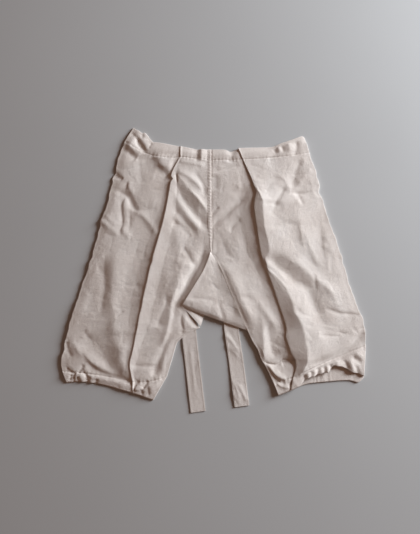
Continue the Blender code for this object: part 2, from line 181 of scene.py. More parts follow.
LEFT_SECTIONS = (
    Section((-181, 258), (-62, 221), (-2, 215), -14, 0),
    Section((-190, 229), (-73, 200), (-2, 196), -8, 0),
    Section((-198, 190), (-80, 181), (-2, 174), -3, 0),
    Section((-205, 154), (-82, 159), (-2, 145)),
    Section((-213, 111), (-87, 125), (-2, 110)),
    Section((-224, 70), (-95, 80), (-1, 65)),
    Section((-234, 20), (-110, 20), (1, 15)),
    Section((-242, -14), (-118, -13), (-11, -19)),
    Section((-252, -48), (-124, -45), (-28, -49)),
    Section((-260, -76), (-130, -75), (-44, -76)),
    Section((-266, -97), (-133, -96), (-54, -93)),
    Section((-270, -117), (-137, -114), (-37, -114)),
    Section((-275, -139), (-140, -136), (-20, -135)),
    Section((-278, -155), (-143, -151), (-44, -147)),
    Section((-280, -169), (-145, -166), (-62, -162)),
    Section((-282, -184), (-148, -182), (-68, -178)),
    Section((-284, -201), (-152, -205), (-73, -196), 1, -2),
    Section((-282, -217), (-146, -237), (-82, -227), 3, -4),
)
RIGHT_SECTIONS = (
    Section((-2, 215), (69, 216), (209, 232), 0, -3),
    Section((-2, 196), (79, 191), (217, 203)),
    Section((-2, 174), (88, 167), (224, 172)),
    Section((-2, 145), (94, 140), (227, 142)),
    Section((-2, 110), (90, 110), (237, 104)),
    Section((-1, 65), (95, 65), (247, 66)),
    Section((1, 15), (102, 12), (262, 12)),
    Section((19, -14), (113, -22), (270, -25)),
    Section((34, -51), (124, -55), (278, -59)),
    Section((53, -96), (136, -95), (288, -95)),
    Section((72, -140), (147, -132), (298, -118), 0, 2),
    Section((81, -160), (148, -158), (299, -132), 0, 4),
    Section((91, -176), (155, -183), (300, -144), 0, 7),
    Section((98, -196), (162, -196), (300, -153), 0, 6),
    Section((107, -211), (163, -211), (300, -161), 0, 5),
    Section((120, -240), (157, -229), (300, -169), 0, 2),
)

# The right leg's back from the gusset down, where it parts from the front
RIGHT_BACK_LOW = (
    Section((72, -140), (147, -132), (298, -130)),
    Section((81, -160), (148, -158), (300, -160), 0, 1),
    Section((91, -176), (155, -183), (300, -174), 0, 3),
    Section((98, -196), (162, -196), (298, -186), 0, 4),
    Section((107, -211), (163, -211), (296, -195), 0, 5),
    Section((120, -240), (157, -229), (295, -203), 0, 6),
)
SECTIONS = {"left": LEFT_SECTIONS, "right": RIGHT_SECTIONS}
BACK_SECTIONS = {"left": LEFT_SECTIONS, "right": RIGHT_SECTIONS[:CORNER_ROW] + RIGHT_BACK_LOW}

# The casings' outer edges, parted at the pleat: first the stretch on its left, then the one on its right
WAIST_EDGES = {
    "left": (
        ((-163, 290), (-146, 278), (-136, 276), (-122, 258), (-108, 255), (-62, 246)),
        ((-62, 246), (-24, 239), (-2, 240)),
    ),
    "right": (
        ((-2, 240), (30, 239), (43, 234), (53, 238), (60, 240)),
        ((60, 241), (65, 242), (128, 245), (150, 253), (173, 261), (194, 270), (200, 267)),
    ),
}
HEM_EDGES = {
    "left": (
        ((-271, -238), (-246, -236), (-211, -240), (-179, -248), (-145, -257)),
        ((-145, -257), (-130, -262), (-107, -270)),
    ),
    "right": (
        ((129, -261), (152, -252)),
        ((152, -252), (167, -245), (177, -235), (187, -229), (196, -227), (205, -223), (214, -221),
         (223, -219), (229, -213), (234, -207), (249, -209), (264, -216), (282, -223), (291, -226)),
    ),
}

# The same at the back of the hems. The left one's is hidden under its front
HEM_BACK_EDGES = {
    "left": HEM_EDGES["left"],
    "right": (((129, -261), (153, -252), (179, -241), (206, -237), (261, -233), (280, -237), (292, -228)),),
}

# The crease beside each pleat: where the left one's band ends, and the right one's pressed ridge
CREASES = {
    "left": (
        (-58, 246), (-58, 221), (-66, 200), (-71, 182), (-69, 158), (-69, 125), (-72, 88), (-78, 56),
        (-84, 28), (-89, 9), (-97, -31), (-103, -63), (-110, -89), (-117, -124), (-124, -146),
        (-133, -173), (-138, -193), (-146, -212), (-143, -237), (-142, -258),
    ),
    "right": (
        (64, 241), (73, 216), (82, 191), (91, 168), (97, 150), (107, 121), (108, 94), (110, 64),
        (115, 38), (118, 22), (117, 12), (110, 4), (107, -4), (110, -14), (118, -24), (134, -38),
        (150, -60), (159, -85), (164, -108), (171, -116), (179, -137), (185, -177), (184, -202),
        (175, -219), (162, -232), (157, -252),
    ),
}

# Where an outer edge steps in or out
Notch = namedtuple("Notch", "y width depth")
NOTCHES = {
    "left": (Notch(185, 6, 1.6), Notch(172, 5, -1.2), Notch(84, 5, -1.8), Notch(70, 6, 1.2)),
    "right": (Notch(156, 6, 1.6), Notch(143, 5, -2.0), Notch(-100, 5, -0.8)),
}

# The same for the pleats' folds
FOLD_NOTCHES = {
    "left": (Notch(171, 4.5, 4.2), Notch(-4, 6, 1.4)),
    "right": (Notch(143, 7, 1.5), Notch(-150, 8, -1.6)),
}

# Heights along a leg, by place down it. lean is the lower cloth's height at the pleat's fold, which it climbs
# to over reach. fold is the edge of the fold itself, crease the height at the crease beside it, and crown the
# height that the cloth past the crease comes to at a distance. left and right are the side edges.
Profile = namedtuple("Profile", "y lean reach fold crease crown at left right")
PROFILES = {
    "left": (
        Profile(290, 4.4, 10, 6.0, 5.2, 4.8, 30, 3.0, 4.2),
        Profile(222, 4.4, 10, 6.0, 5.2, 4.8, 30, 3.2, 4.2),
        Profile(205, 4.8, 10, 6.4, 5.6, 5.2, 30, 3.2, 4.2),
        Profile(183, 6.0, 12, 7.6, 6.4, 5.6, 30, 3.2, 4.2),
        Profile(167, 6.2, 12, 7.8, 6.8, 5.8, 30, 3.0, 4.2),
        Profile(146, 6.0, 11, 7.6, 5.2, 5.0, 30, 3.0, 4.2),
        Profile(125, 5.8, 12, 7.6, 4.5, 4.6, 30, 3.0, 4.2),
        Profile(89, 6.4, 16, 8.1, 4.9, 4.8, 30, 3.2, 4.4),
        Profile(40, 7.2, 20, 8.9, 5.4, 5.2, 32, 3.2, 4.8),
        Profile(-21, 8.0, 24, 9.7, 6.0, 6.2, 34, 3.0, 6.4),
        Profile(-81, 8.2, 24, 9.9, 6.6, 6.6, 34, 3.4, 6.6),
        Profile(-98, 7.6, 22, 9.3, 6.6, 6.5, 34, 3.8, 4.0),
        Profile(-120, 6.8, 20, 8.5, 5.8, 5.6, 34, 4.2, 2.0),
        Profile(-159, 6.4, 15, 8.1, 5.6, 5.4, 34, 4.2, 2.2),
        Profile(-196, 5.8, 8, 7.6, 5.8, 5.6, 34, 3.8, 2.2),
        Profile(-218, 5.0, 8, 6.6, 5.4, 5.0, 30, 3.4, 2.2),
        Profile(-240, 4.2, 10, 5.8, 5.2, 4.8, 24, 3.4, 2.4),
        Profile(-270, 3.8, 10, 5.4, 5.0, 4.6, 20, 3.0, 3.0),
    ),
    "right": (
        Profile(290, 4.2, 10, 5.8, 5.2, 4.4, 60, 4.2, 3.6),
        Profile(217, 4.2, 10, 5.8, 5.7, 4.4, 80, 4.2, 3.6),
        Profile(193, 4.2, 12, 6.6, 6.6, 4.4, 90, 4.2, 3.6),
        Profile(180, 4.6, 14, 7.4, 7.4, 4.4, 100, 4.2, 3.6),
        Profile(167, 5.4, 18, 8.2, 8.4, 4.4, 105, 4.2, 3.6),
        Profile(157, 5.6, 24, 9.0, 9.4, 4.4, 108, 4.2, 3.6),
        Profile(146, 7.6, 30, 10.2, 11.4, 4.4, 110, 4.2, 3.6),
        Profile(125, 8.6, 30, 11.4, 15.8, 4.4, 112, 4.0, 3.6),
        Profile(103, 9.0, 30, 11.9, 15.6, 4.4, 114, 4.0, 3.6),
        Profile(72, 9.4, 32, 11.8, 15.0, 4.4, 116, 3.8, 3.6),
        Profile(62, 9.6, 32, 11.7, 15.2, 4.4, 116, 3.8, 3.6),
        Profile(20, 9.4, 28, 10.9, 13.4, 4.4, 116, 4.0, 3.6),
        Profile(0, 8.4, 24, 10.1, 11.0, 4.4, 116, 4.6, 3.6),
        Profile(-21, 7.6, 21, 9.4, 10.8, 4.4, 115, 5.6, 3.6),
        Profile(-62, 6.8, 19, 8.5, 12.4, 4.4, 112, 6.4, 3.6),
        Profile(-100, 6.4, 17, 8.1, 13.0, 4.4, 110, 6.8, 3.6),
        Profile(-125, 5.8, 10, 7.5, 13.0, 4.4, 106, 5.6, 3.6),
        Profile(-139, 5.8, 10, 7.5, 13.0, 4.4, 106, 4.2, 3.6),
        Profile(-155, 6.4, 18, 8.1, 13.2, 4.4, 104, 4.2, 3.6),
        Profile(-178, 7.2, 30, 8.9, 13.2, 4.4, 100, 4.4, 3.6),
        Profile(-196, 6.0, 20, 7.6, 13.2, 4.6, 90, 4.6, 3.6),
        Profile(-215, 5.0, 16, 6.6, 10.4, 5.0, 70, 4.4, 3.6),
        Profile(-229, 4.2, 12, 5.9, 6.2, 5.0, 50, 4.4, 3.6),
        Profile(-265, 3.8, 10, 5.4, 5.4, 4.6, 40, 4.0, 3.6),
    ),
}

# A fold in the cloth. lit is how far it spreads on the left hand along its route, shade on the right hand.
# round is how blunt it is. Its height goes from start to end: below nought it is a trough.
Fold = namedtuple("Fold", "lit shade round start end route")

LEFT_SIDE_FOLDS = (
    Fold(3, 5, 0.4, -0.7, -1.2, ((-168, 280), (-160, 270), (-152, 261), (-145, 250), (-137, 238))),
    Fold(5, 3, 0.4, -1, -1.2, ((-154, 268), (-152, 251), (-143, 241), (-135, 235))),
    Fold(2.5, 2.5, 0.4, -0.6, -0.6, ((-144, 275), (-142, 264))),
    Fold(3, 3, 0.4, -0.6, -0.5, ((-123, 253), (-130, 240))),
    Fold(9, 8, 0.6, -1, -1.2, ((-185, 243), (-168, 229), (-153, 217))),
    Fold(10, 7, 0.7, -0.6, -0.5, ((-155, 220), (-134, 218), (-115, 219))),
    Fold(14, 9, 0.6, 1, 0.7, ((-177, 252), (-160, 238), (-145, 225))),
    Fold(24, 10, 0.7, 1.2, 1.5, ((-109, 227), (-107, 211), (-96, 201), (-79, 195))),
    Fold(7, 12, 0.7, -0.9, -1, ((-113, 220), (-108, 200), (-96, 187), (-83, 176))),
    Fold(8, 8, 0.8, -0.4, -0.4, ((-148, 209), (-141, 158))),
    Fold(3, 4, 0.3, -2, -0.8, ((-199, 187), (-191, 178), (-180, 172))),
    Fold(3, 3, 0.3, -0.6, -0.5, ((-171, 167), (-172, 156), (-177, 146))),
    Fold(6, 5, 0.4, -0.7, -1.3, ((-204, 152), (-184, 143), (-169, 135), (-162, 125), (-155, 109),
         (-145, 99))),
    Fold(9, 3, 0.3, -0.5, -0.8, ((-192, 151), (-177, 139), (-168, 130), (-164, 119), (-157, 108))),
    Fold(5, 4, 0.4, -0.4, -0.3, ((-157, 110), (-145, 104), (-125, 105), (-106, 102))),
    Fold(4, 3, 0.4, 0.5, 0.4, ((-171, 165), (-167, 151), (-158, 138))),
    Fold(12, 5, 0.4, 0.7, 1, ((-162, 110), (-147, 97), (-133, 87), (-115, 63), (-109, 51))),
    Fold(2.8, 5, 0.35, -0.9, -0.5, ((-174, 134), (-181, 119), (-180, 99), (-178, 82), (-180, 65),
         (-181, 51))),
    Fold(3, 3, 0.35, -0.4, -0.5, ((-164, 104), (-163, 87), (-163, 65))),
    Fold(4, 3, 0.4, 0.7, 0.6, ((-181, 65), (-172, 55), (-161, 45))),
    Fold(5, 4, 0.4, 0.9, 0.5, ((-224, 83), (-210, 70), (-183, 49))),
    Fold(4, 4, 0.4, 0.5, 0.3, ((-216, 95), (-203, 82), (-190, 70))),
    Fold(20, 18, 0.8, -0.6, -0.9, ((-113, 125), (-126, 72), (-144, 20), (-166, -42), (-176, -81),
         (-180, -120))),
    Fold(34, 15, 0.8, 1.1, 1.9, ((-183, 34), (-184, 15), (-189, -11), (-191, -42), (-189, -65), (-188, -87),
         (-182, -111), (-183, -130), (-184, -149), (-181, -168))),
    Fold(8, 9, 0.5, -0.5, -0.6, ((-213, 3), (-210, -25), (-208, -57), (-211, -85), (-212, -105))),
    Fold(13, 15, 0.8, 0.8, 1.8, ((-182, -149), (-177, -168), (-173, -183), (-169, -198), (-161, -213),
         (-154, -224))),
    Fold(1.8, 2, 0.35, -0.45, -0.3, ((-168, -104), (-176, -110), (-182, -116))),
    Fold(3, 3, 0.5, -0.25, -0.25, ((-173, -50), (-156, -53), (-138, -53))),
    Fold(4, 5, 0.5, -0.3, -0.5, ((-243, -138), (-238, -149), (-230, -159))),
    Fold(17, 20, 0.6, -0.4, -2, ((-243, -145), (-234, -155), (-221, -168), (-211, -181), (-202, -196),
         (-194, -205), (-186, -215), (-172, -224), (-157, -231))),
    Fold(13, 9, 0.4, 0.9, 1.7, ((-263, -160), (-257, -172), (-247, -183), (-232, -197), (-216, -207),
         (-202, -216), (-185, -224), (-166, -232))),
    Fold(4, 4, 0.4, -0.7, -0.6, ((-276, -160), (-272, -177), (-263, -192))),
    Fold(3, 3, 0.3, -0.8, -0.8, ((-274, -210), (-264, -218), (-253, -223))),
    Fold(3, 3, 0.3, -0.7, -0.7, ((-240, -205), (-245, -215), (-250, -222))),
    Fold(2.5, 3, 0.3, -0.9, -0.8, ((-241, -216), (-234, -225), (-225, -232))),
    Fold(5, 4, 0.4, -0.7, -1.3, ((-250, -177), (-240, -191), (-228, -204), (-212, -215), (-185, -225),
         (-158, -233), (-143, -239))),
    Fold(2, 2, 0.4, -1, -0.9, ((-262, -223), (-265, -235))),
    Fold(2, 2, 0.4, -1, -0.9, ((-258, -223), (-257, -237))),
    Fold(2.2, 2.2, 0.4, -1, -1, ((-252, -227), (-245, -237))),
    Fold(2.2, 2.2, 0.4, -0.8, -0.8, ((-234, -229), (-228, -240))),
    Fold(2.2, 2.2, 0.4, -0.8, -0.8, ((-214, -231), (-215, -241))),
)
LEFT_CENTRE_FOLDS = (
    Fold(9, 22, 0.4, 0.6, 1.1, ((-52, 3), (-58, -17), (-62, -42), (-69, -65), (-78, -87))),
    Fold(10, 5, 0.6, 1, 0.9, ((-17, 240), (-18, 227), (-20, 211))),
    Fold(5, 5, 0.6, -0.6, -0.5, ((-28, 241), (-27, 225), (-25, 211))),
    Fold(7, 5, 0.6, 0.5, 0.6, ((-67, 212), (-42, 207), (-10, 199))),
    Fold(9, 7, 0.5, 0.7, 0.9, ((-69, 191), (-50, 180), (-35, 169), (-21, 156), (-9, 144))),
    Fold(7, 6, 0.5, -0.5, -0.9, ((-33, 187), (-23, 173), (-14, 156), (-10, 134))),
    Fold(5, 12, 0.3, 0.5, 1.2, ((-68, 181), (-54, 163), (-41, 146), (-25, 126), (-9, 106))),
    Fold(2.5, 3, 0.35, 0.4, 0.5, ((-41, 145), (-27, 132), (-14, 114), (-8, 104))),
    Fold(12, 8, 0.4, -0.8, -1.6, ((-70, 165), (-63, 144), (-53, 125), (-38, 104), (-22, 84), (-8, 67))),
    Fold(7, 7, 0.4, 0.3, 0.9, ((-74, 138), (-68, 125), (-53, 104), (-37, 82), (-20, 61))),
    Fold(6, 7, 0.4, -0.5, -0.9, ((-74, 110), (-65, 97), (-52, 82), (-35, 61), (-26, 49))),
    Fold(6, 5, 0.4, 0.4, 0.7, ((-75, 93), (-67, 82), (-51, 62), (-34, 49))),
    Fold(7, 6, 0.4, -1, -1.2, ((-77, 80), (-61, 72), (-48, 59), (-36, 47))),
    Fold(2, 2.5, 0.3, -0.7, -0.6, ((-70, 184), (-68, 162))),
    Fold(4, 5, 0.3, -0.7, -0.7, ((-58, 26), (-46, 15), (-38, 1), (-32, -11))),
    Fold(9, 12, 0.6, 0.5, 0.7, ((-36, -5), (-46, -21), (-55, -39), (-58, -61))),
    Fold(12, 5, 0.3, -0.5, -0.9, ((-90, -75), (-85, -86), (-92, -103), (-99, -122), (-101, -136))),
    Fold(7, 9, 0.35, 0.7, 1.2, ((-67, -65), (-74, -85), (-77, -109), (-81, -134), (-87, -155), (-96, -174))),
    Fold(3, 12, 0.4, 0.35, 0.1, ((-95, -69), (-91, -87), (-97, -107))),
    Fold(8, 7, 0.5, -0.5, -0.5, ((-70, -81), (-69, -101), (-74, -124), (-79, -149), (-86, -170))),
    Fold(9, 7, 0.5, -1.5, -2.2, ((-10, 26), (-18, 3), (-28, -17), (-40, -39), (-50, -61), (-62, -81),
         (-70, -97))),
    Fold(8, 9, 0.6, -0.8, -1.6, ((-81, -155), (-88, -170), (-93, -185), (-99, -200), (-103, -215),
         (-108, -228))),
    Fold(3, 3, 0.3, -0.6, -0.6, ((-146, -207), (-123, -207), (-99, -208))),
    Fold(2.5, 2.5, 0.4, -1.3, -1.3, ((-134, -235), (-140, -242), (-145, -253))),
    Fold(2.5, 3, 0.4, -1, -1, ((-115, -236), (-121, -242), (-127, -250))),
    Fold(2.5, 2.5, 0.4, -0.7, -0.7, ((-130, -250), (-127, -260))),
    Fold(3, 3, 0.4, -0.6, -0.6, ((-117, -246), (-114, -262))),
    Fold(3, 3, 0.4, -0.5, -0.5, ((-54, -107), (-56, -124), (-52, -139), (-57, -149))),
    Fold(2.5, 2.5, 0.4, -0.5, -0.5, ((-124, -44), (-108, -59))),
)
RIGHT_CENTRE_FOLDS = (
    Fold(9, 10, 0.6, -1.2, -1, ((47, 241), (45, 225), (41, 208))),
    Fold(4, 5, 0.4, -0.6, -0.8, ((63, 203), (46, 198), (29, 193), (4, 186))),
    Fold(8, 8, 0.7, -0.6, -0.6, ((9, 180), (12, 165), (8, 147))),
    Fold(4, 4, 0.3, -1.5, -1.9, ((72, 127), (60, 120), (53, 114), (42, 104), (32, 93), (18, 81), (2, 66))),
    Fold(2.5, 3, 0.35, -0.8, -0.8, ((19, 110), (10, 102), (1, 91))),
    Fold(3.5, 4, 0.35, -0.8, -0.9, ((63, 84), (50, 73), (41, 59))),
    Fold(6, 8, 0.6, -0.5, -0.5, ((24, 38), (32, 20), (42, 3))),
    Fold(12, 12, 0.4, 0.2, 1.2, ((66, -54), (81, -67), (94, -83), (105, -101), (118, -120), (129, -136))),
    Fold(30, 12, 0.5, 0.9, 1.8, ((29, -5), (40, -25), (52, -52), (64, -79), (72, -99), (78, -114),
         (83, -130))),
    Fold(9, 9, 0.5, 0.2, 1.3, ((99, -118), (102, -131), (103, -149), (103, -177), (101, -198))),
    Fold(11, 8, 0.5, -0.6, -1.2, ((112, -124), (115, -153), (119, -177), (126, -192))),
    Fold(3, 3, 0.3, -1.1, -1.2, ((99, -198), (107, -202), (116, -204), (127, -204), (137, -198),
         (148, -196))),
    Fold(4, 7, 0.3, -1.2, -3, ((135, -198), (148, -196), (166, -195))),
    Fold(8, 4, 0.4, 1.3, 1.4, ((106, -203), (112, -211), (119, -219), (130, -228), (147, -233))),
    Fold(4, 4, 0.4, -0.8, -0.8, ((110, -217), (118, -226), (130, -236), (143, -239))),
    Fold(5, 3, 0.4, 0.9, 0.7, ((126, -239), (135, -245), (150, -248))),
    Fold(2.5, 2.5, 0.3, -1.4, -1.4, ((155, -236), (157, -242), (162, -250))),
    Fold(3, 3, 0.4, -0.5, -0.5, ((59, -77), (70, -76), (80, -78))),
)
RIGHT_SIDE_FOLDS = (
    Fold(3, 3, 0.4, -0.9, -0.6, ((135, 238), (141, 229))),
    Fold(3.5, 3, 0.4, -0.9, -0.6, ((151, 246), (155, 232))),
    Fold(3.5, 3, 0.4, 0.7, 0.5, ((143, 244), (148, 232))),
    Fold(5, 4, 0.5, -1, -0.6, ((182, 257), (183, 241), (176, 223))),
    Fold(5, 5, 0.5, 0.8, 0.6, ((165, 252), (168, 232))),
    Fold(7, 12, 0.5, -0.8, -0.8, ((191, 218), (182, 196), (175, 173), (169, 151))),
    Fold(6, 9, 0.5, 0.5, 0.5, ((211, 198), (195, 176), (182, 156), (167, 140))),
    Fold(10, 7, 0.5, 0.4, 0.6, ((143, 182), (155, 169), (163, 151), (167, 138))),
    Fold(6, 8, 0.6, -0.4, -0.5, ((141, 178), (126, 160), (113, 140))),
    Fold(5, 5, 0.5, -0.9, -0.8, ((155, 154), (146, 138), (136, 123), (131, 108))),
    Fold(18, 14, 0.9, -0.6, -1, ((136, 123), (131, 104), (130, 82), (137, 59))),
    Fold(3, 4, 0.3, -0.7, -0.7, ((171, 141), (185, 140), (200, 141), (214, 146))),
    Fold(8, 10, 0.5, 0.6, 0.5, ((216, 147), (202, 138), (187, 126), (176, 117))),
    Fold(15, 20, 0.9, 0.4, 0.9, ((171, 140), (174, 125), (178, 106), (179, 87), (177, 70))),
    Fold(3, 3, 0.4, -0.4, -0.4, ((181, 140), (186, 127), (190, 114))),
    Fold(9, 6, 0.35, 0.4, 0.7, ((182, 78), (183, 61), (185, 44), (188, 24))),
    Fold(14, 8, 0.35, 0.5, 0.9, ((188, 63), (196, 40), (202, 20), (210, 1), (224, -19))),
    Fold(5, 5, 0.6, -0.3, -0.3, ((223, 65), (224, 40), (227, 1))),
    Fold(18, 15, 0.4, 1.1, 1.8, ((122, 17), (142, 8), (163, -3), (185, -20), (211, -42), (236, -62),
         (257, -99))),
    Fold(15, 18, 0.5, -1.3, -1.7, ((112, 3), (125, -7), (139, -21), (168, -44), (193, -61), (206, -99),
         (224, -139))),
    Fold(3, 3, 0.4, -0.5, -0.5, ((206, -29), (208, -46), (208, -61))),
    Fold(3, 4, 0.3, -0.5, -0.7, ((223, -95), (239, -102), (256, -107), (272, -108), (293, -111))),
    Fold(3, 3, 0.35, -0.5, -0.5, ((247, -142), (254, -145), (264, -147))),
    Fold(3, 3, 0.4, -0.35, -0.35, ((214, -149), (235, -151), (252, -151))),
    Fold(3, 4, 0.5, -0.4, -0.3, ((169, -99), (181, -110), (200, -113))),
    Fold(9, 9, 0.5, -1.2, -2.2, ((295, -139), (286, -157), (266, -176), (241, -190), (215, -198),
         (188, -208))),
    Fold(3, 3, 0.4, -0.9, -0.9, ((272, -191), (282, -196), (287, -203))),
    Fold(3, 3, 0.4, 0.7, 0.7, ((277, -184), (286, -190), (291, -195))),
    Fold(2.2, 2.5, 0.4, -0.8, -0.9, ((178, -222), (179, -240))),
    Fold(3, 2.5, 0.4, 0.7, 0.9, ((184, -220), (188, -233))),
    Fold(2.2, 2.8, 0.4, -0.8, -0.6, ((192, -217), (191, -231))),
    Fold(3.4, 2.5, 0.4, 0.6, 0.7, ((198, -215), (198, -228))),
    Fold(2, 2.5, 0.4, -0.9, -1.1, ((207, -211), (201, -228))),
    Fold(2.6, 2.5, 0.4, 0.7, 0.6, ((211, -213), (212, -225))),
    Fold(2.2, 3.4, 0.4, -0.6, -0.9, ((218, -207), (217, -224))),
    Fold(2.5, 2.5, 0.4, 0.7, 0.9, ((222, -207), (224, -220))),
    Fold(2.5, 3, 0.4, -0.9, -0.9, ((229, -204), (230, -217))),
    Fold(3, 4, 0.4, 0.5, 0.6, ((242, -198), (244, -209))),
    Fold(3, 3, 0.4, -0.9, -1, ((255, -196), (260, -207), (263, -215))),
    Fold(3, 3, 0.4, 0.8, 0.9, ((265, -196), (269, -207), (273, -218))),
    Fold(3, 3, 0.4, -0.8, -1, ((275, -207), (280, -217), (282, -226))),
    Fold(9, 6, 0.5, 0.8, 0.5, ((107, -2), (119, -13), (135, -26), (150, -44))),
)
GUSSET_FOLDS = (
    Fold(2.5, 2.5, 0.3, -0.5, -0.5, ((-39, -77), (-14, -79), (14, -83))),
    Fold(4, 3, 0.3, -0.7, -0.7, ((16, -83), (21, -101), (29, -120))),
    Fold(3, 3, 0.4, -0.5, -0.5, ((4, -48), (16, -61))),
)
TIE_FOLDS = (
    Fold(4, 5, 0.4, 1.6, 1.8, ((27, -147), (41, -160), (56, -181))),
    Fold(4, 4, 0.4, 1.0, 1.0, ((29, -168), (42, -177), (54, -191))),
    Fold(4, 4, 0.4, -0.9, -0.9, ((35, -139), (46, -158), (54, -174))),
    Fold(3, 4, 0.4, 1.0, 1.2, ((42, -233), (49, -248), (55, -268))),
    Fold(3, 4, 0.4, 1.4, 1.4, ((53, -241), (62, -257), (69, -273))),
    Fold(4, 4, 0.4, 1.0, 1.0, ((40, -252), (49, -266), (56, -277))),
    Fold(3, 3, 0.4, 0.7, 0.7, ((-39, -168), (-36, -196), (-32, -224), (-28, -261))),
    Fold(3, 3, 0.4, -0.5, -0.5, ((-31, -177), (-29, -211), (-23, -252))),
)

# A leg's folds left of its pleat, then right of it
LEG_FOLDS = {"left": (LEFT_SIDE_FOLDS, LEFT_CENTRE_FOLDS), "right": (RIGHT_CENTRE_FOLDS, RIGHT_SIDE_FOLDS)}

# The corner of the gusset's back half that shows below its fold: its tuck, then its way back up
TUCK = ((-52.5, -94), (-35, -114), (-18, -133), (-11, -109))

# The ties' middle lines, from the back waist down
TIE_LINES = {
    "left": ((-42, 214), (-44, 110), (-46, 10), (-44, -80), (-40, -147), (-31, -220), (-22, -291)),
    "right": ((40, 213), (38, 110), (37, 20), (38, -60), (41, -129), (51, -205), (60, -281)),
}


# Curves and heights


def ease(t):
    """0 below nought, 1 above one and a soft rise between."""
    t = np.clip(t, 0.0, 1.0)
    return t * t * (3.0 - 2.0 * t)


def hump(away, width):
    """1 at nought, with a soft fall on both sides."""
    return np.exp(-((away / width) ** 2))


def blend(first, last, share):
    """What lies this share of the way from first to last."""
    return first + (last - first) * share


def unit(v):
    """Directions, each one long."""
    return v / np.maximum(np.linalg.norm(v, axis=-1, keepdims=True), 1e-9)


def lay(xy, z):
    """Places and their heights as one grid of points."""
    return np.concatenate([xy, z[..., None]], axis=-1)


def parted(xy):
    """The x and the y of a grid of places."""
    return xy[..., 0], xy[..., 1]


def smooth(rows, steps, corners=()):
    """Points on the smooth curve through a table's rows, so many to each. It turns sharply at the corners."""
    v = np.array(rows, float)
    last = len(v) - 1
    f = (np.arange(steps) / steps)[:, None]
    out = []
    for k in range(last):
        start, end = v[k], v[k + 1]
        before = start if k == 0 or k in corners else v[k - 1]
        after = end if k + 1 == last or k + 1 in corners else v[k + 2]
        a, b, rise = (end - before) / 2, (after - start) / 2, end - start
        out.append(start + f * (a + f * (3 * rise - 2 * a - b + f * (a + b - 2 * rise))))
    return np.concatenate([*out, v[-1:]])


def resample(line, shares):
    """Points at these shares of a line's length."""
    line = np.array(line, float)
    places = np.concatenate([[0.0], np.cumsum(np.linalg.norm(np.diff(line, axis=0), axis=1))])
    places /= places[-1]
    return np.stack([np.interp(shares, places, line[:, k]) for k in range(line.shape[1])], axis=-1)


def length_of(line):
    return np.linalg.norm(np.diff(line, axis=0), axis=1).sum()


def away_from(xy, column):
    """How far each place is from its row's place in one column."""
    return np.linalg.norm(xy - xy[:, column, None], axis=-1)


def beside(x, y, line):
    """Distance from a line of points, above nought on its left hand, the share of its length there, and how
    squarely it is beside the line: 1 on its left hand, -1 on its right, 0 straight past an end."""
    line = np.array(line, float)
    best = np.full(x.shape, 1e9)
    side, place, square = np.zeros(x.shape), np.zeros(x.shape), np.zeros(x.shape)
    count = len(line) - 1
    for k in range(count):
        a, step = line[k], line[k + 1] - line[k]
        length = max(math.hypot(*step), 1e-6)
        share = np.clip(((x - a[0]) * step[0] + (y - a[1]) * step[1]) / length**2, 0.0, 1.0)
        away = np.hypot(x - a[0] - share * step[0], y - a[1] - share * step[1])
        hand = (step[0] * (y - a[1]) - step[1] * (x - a[0])) / length
        near = away < best
        best = np.where(near, away, best)
        side = np.where(near, np.sign(hand), side)
        place = np.where(near, (k + share) / count, place)
        square = np.where(near, np.clip(hand / np.maximum(away, 1e-6), -1.0, 1.0), square)
    return best * np.where(side < 0, -1.0, 1.0), place, square


def gentle(spread):
    """The spread of a crease's side that faces the light."""
    return max(spread, min(GENTLE * spread, GENTLE_UP_TO))


def fold_heights(x, y, folds, gain=1.0):
    """What the folds add to the cloth's height at each place."""
    total = np.zeros(x.shape)
    for fold in folds:
        line = smooth(fold.route, 4)
        reach = FOLD_REACH * gentle(max(fold.lit, fold.shade))
        low, high = line.min(axis=0) - reach, line.max(axis=0) + reach
        near = (x > low[0]) & (x < high[0]) & (y > low[1]) & (y < high[1])
        if not near.any():
            continue
        away, share, square = beside(x[near], y[near], line)
        trough = fold.start + fold.end < 0
        lit, shade = (fold.lit, gentle(fold.shade)) if trough else (gentle(fold.lit), fold.shade)
        u = np.abs(away) / ((lit + shade) / 2 + (lit - shade) / 2 * square)
        bump = np.exp(-1.6 * (np.sqrt(u * u + fold.round**2) - fold.round)) * ease((FOLD_REACH - u) / 1.2)
        ends = blend(FOLD_END, 1.0, ease(np.minimum(share, 1.0 - share) / FOLD_END_RUN))
        total[near] += gain * blend(fold.start, fold.end, share) * ends * bump
    return total


def crumples(seed, low, high, count, turn=None):
    """Small random creases strewn over a box. turn is the angle that they favour."""
    draw = np.random.default_rng(seed)
    found = []
    for _ in range(count):
        x, y = draw.uniform(low, high)
        angle = draw.normal(turn, 0.5) if turn is not None else draw.uniform(0, math.pi)
        length, bend = draw.uniform(*CRUMPLE_LENGTH), draw.normal(0, 0.12)
        spread = draw.uniform(*CRUMPLE_SPREAD)
        height = draw.choice((-1, 1)) * draw.uniform(*CRUMPLE_HEIGHT) * spread / 3.0
        route = []
        for step in (0.0, 0.5, 1.0):
            route.append((x, y))
            x += math.cos(angle + bend * step) * length / 2
            y += math.sin(angle + bend * step) * length / 2
        found.append(Fold(spread, spread * draw.uniform(0.7, 1.3), 0.4, height, height * 0.6, route))
    return found


def swell(x, y, seed, height=0.45):
    """A slow, uneven rise and fall of the cloth."""
    draw = np.random.default_rng(seed)
    total = np.zeros(x.shape)
    for _ in range(SWELL_WAVES):
        angle, wave = draw.uniform(0, 2 * math.pi), draw.uniform(*SWELL_LENGTH)
        phase = draw.uniform(0, 2 * math.pi)
        total += np.sin((x * math.cos(angle) + y * math.sin(angle)) * 2 * math.pi / wave + phase)
    return total * height / 3.0


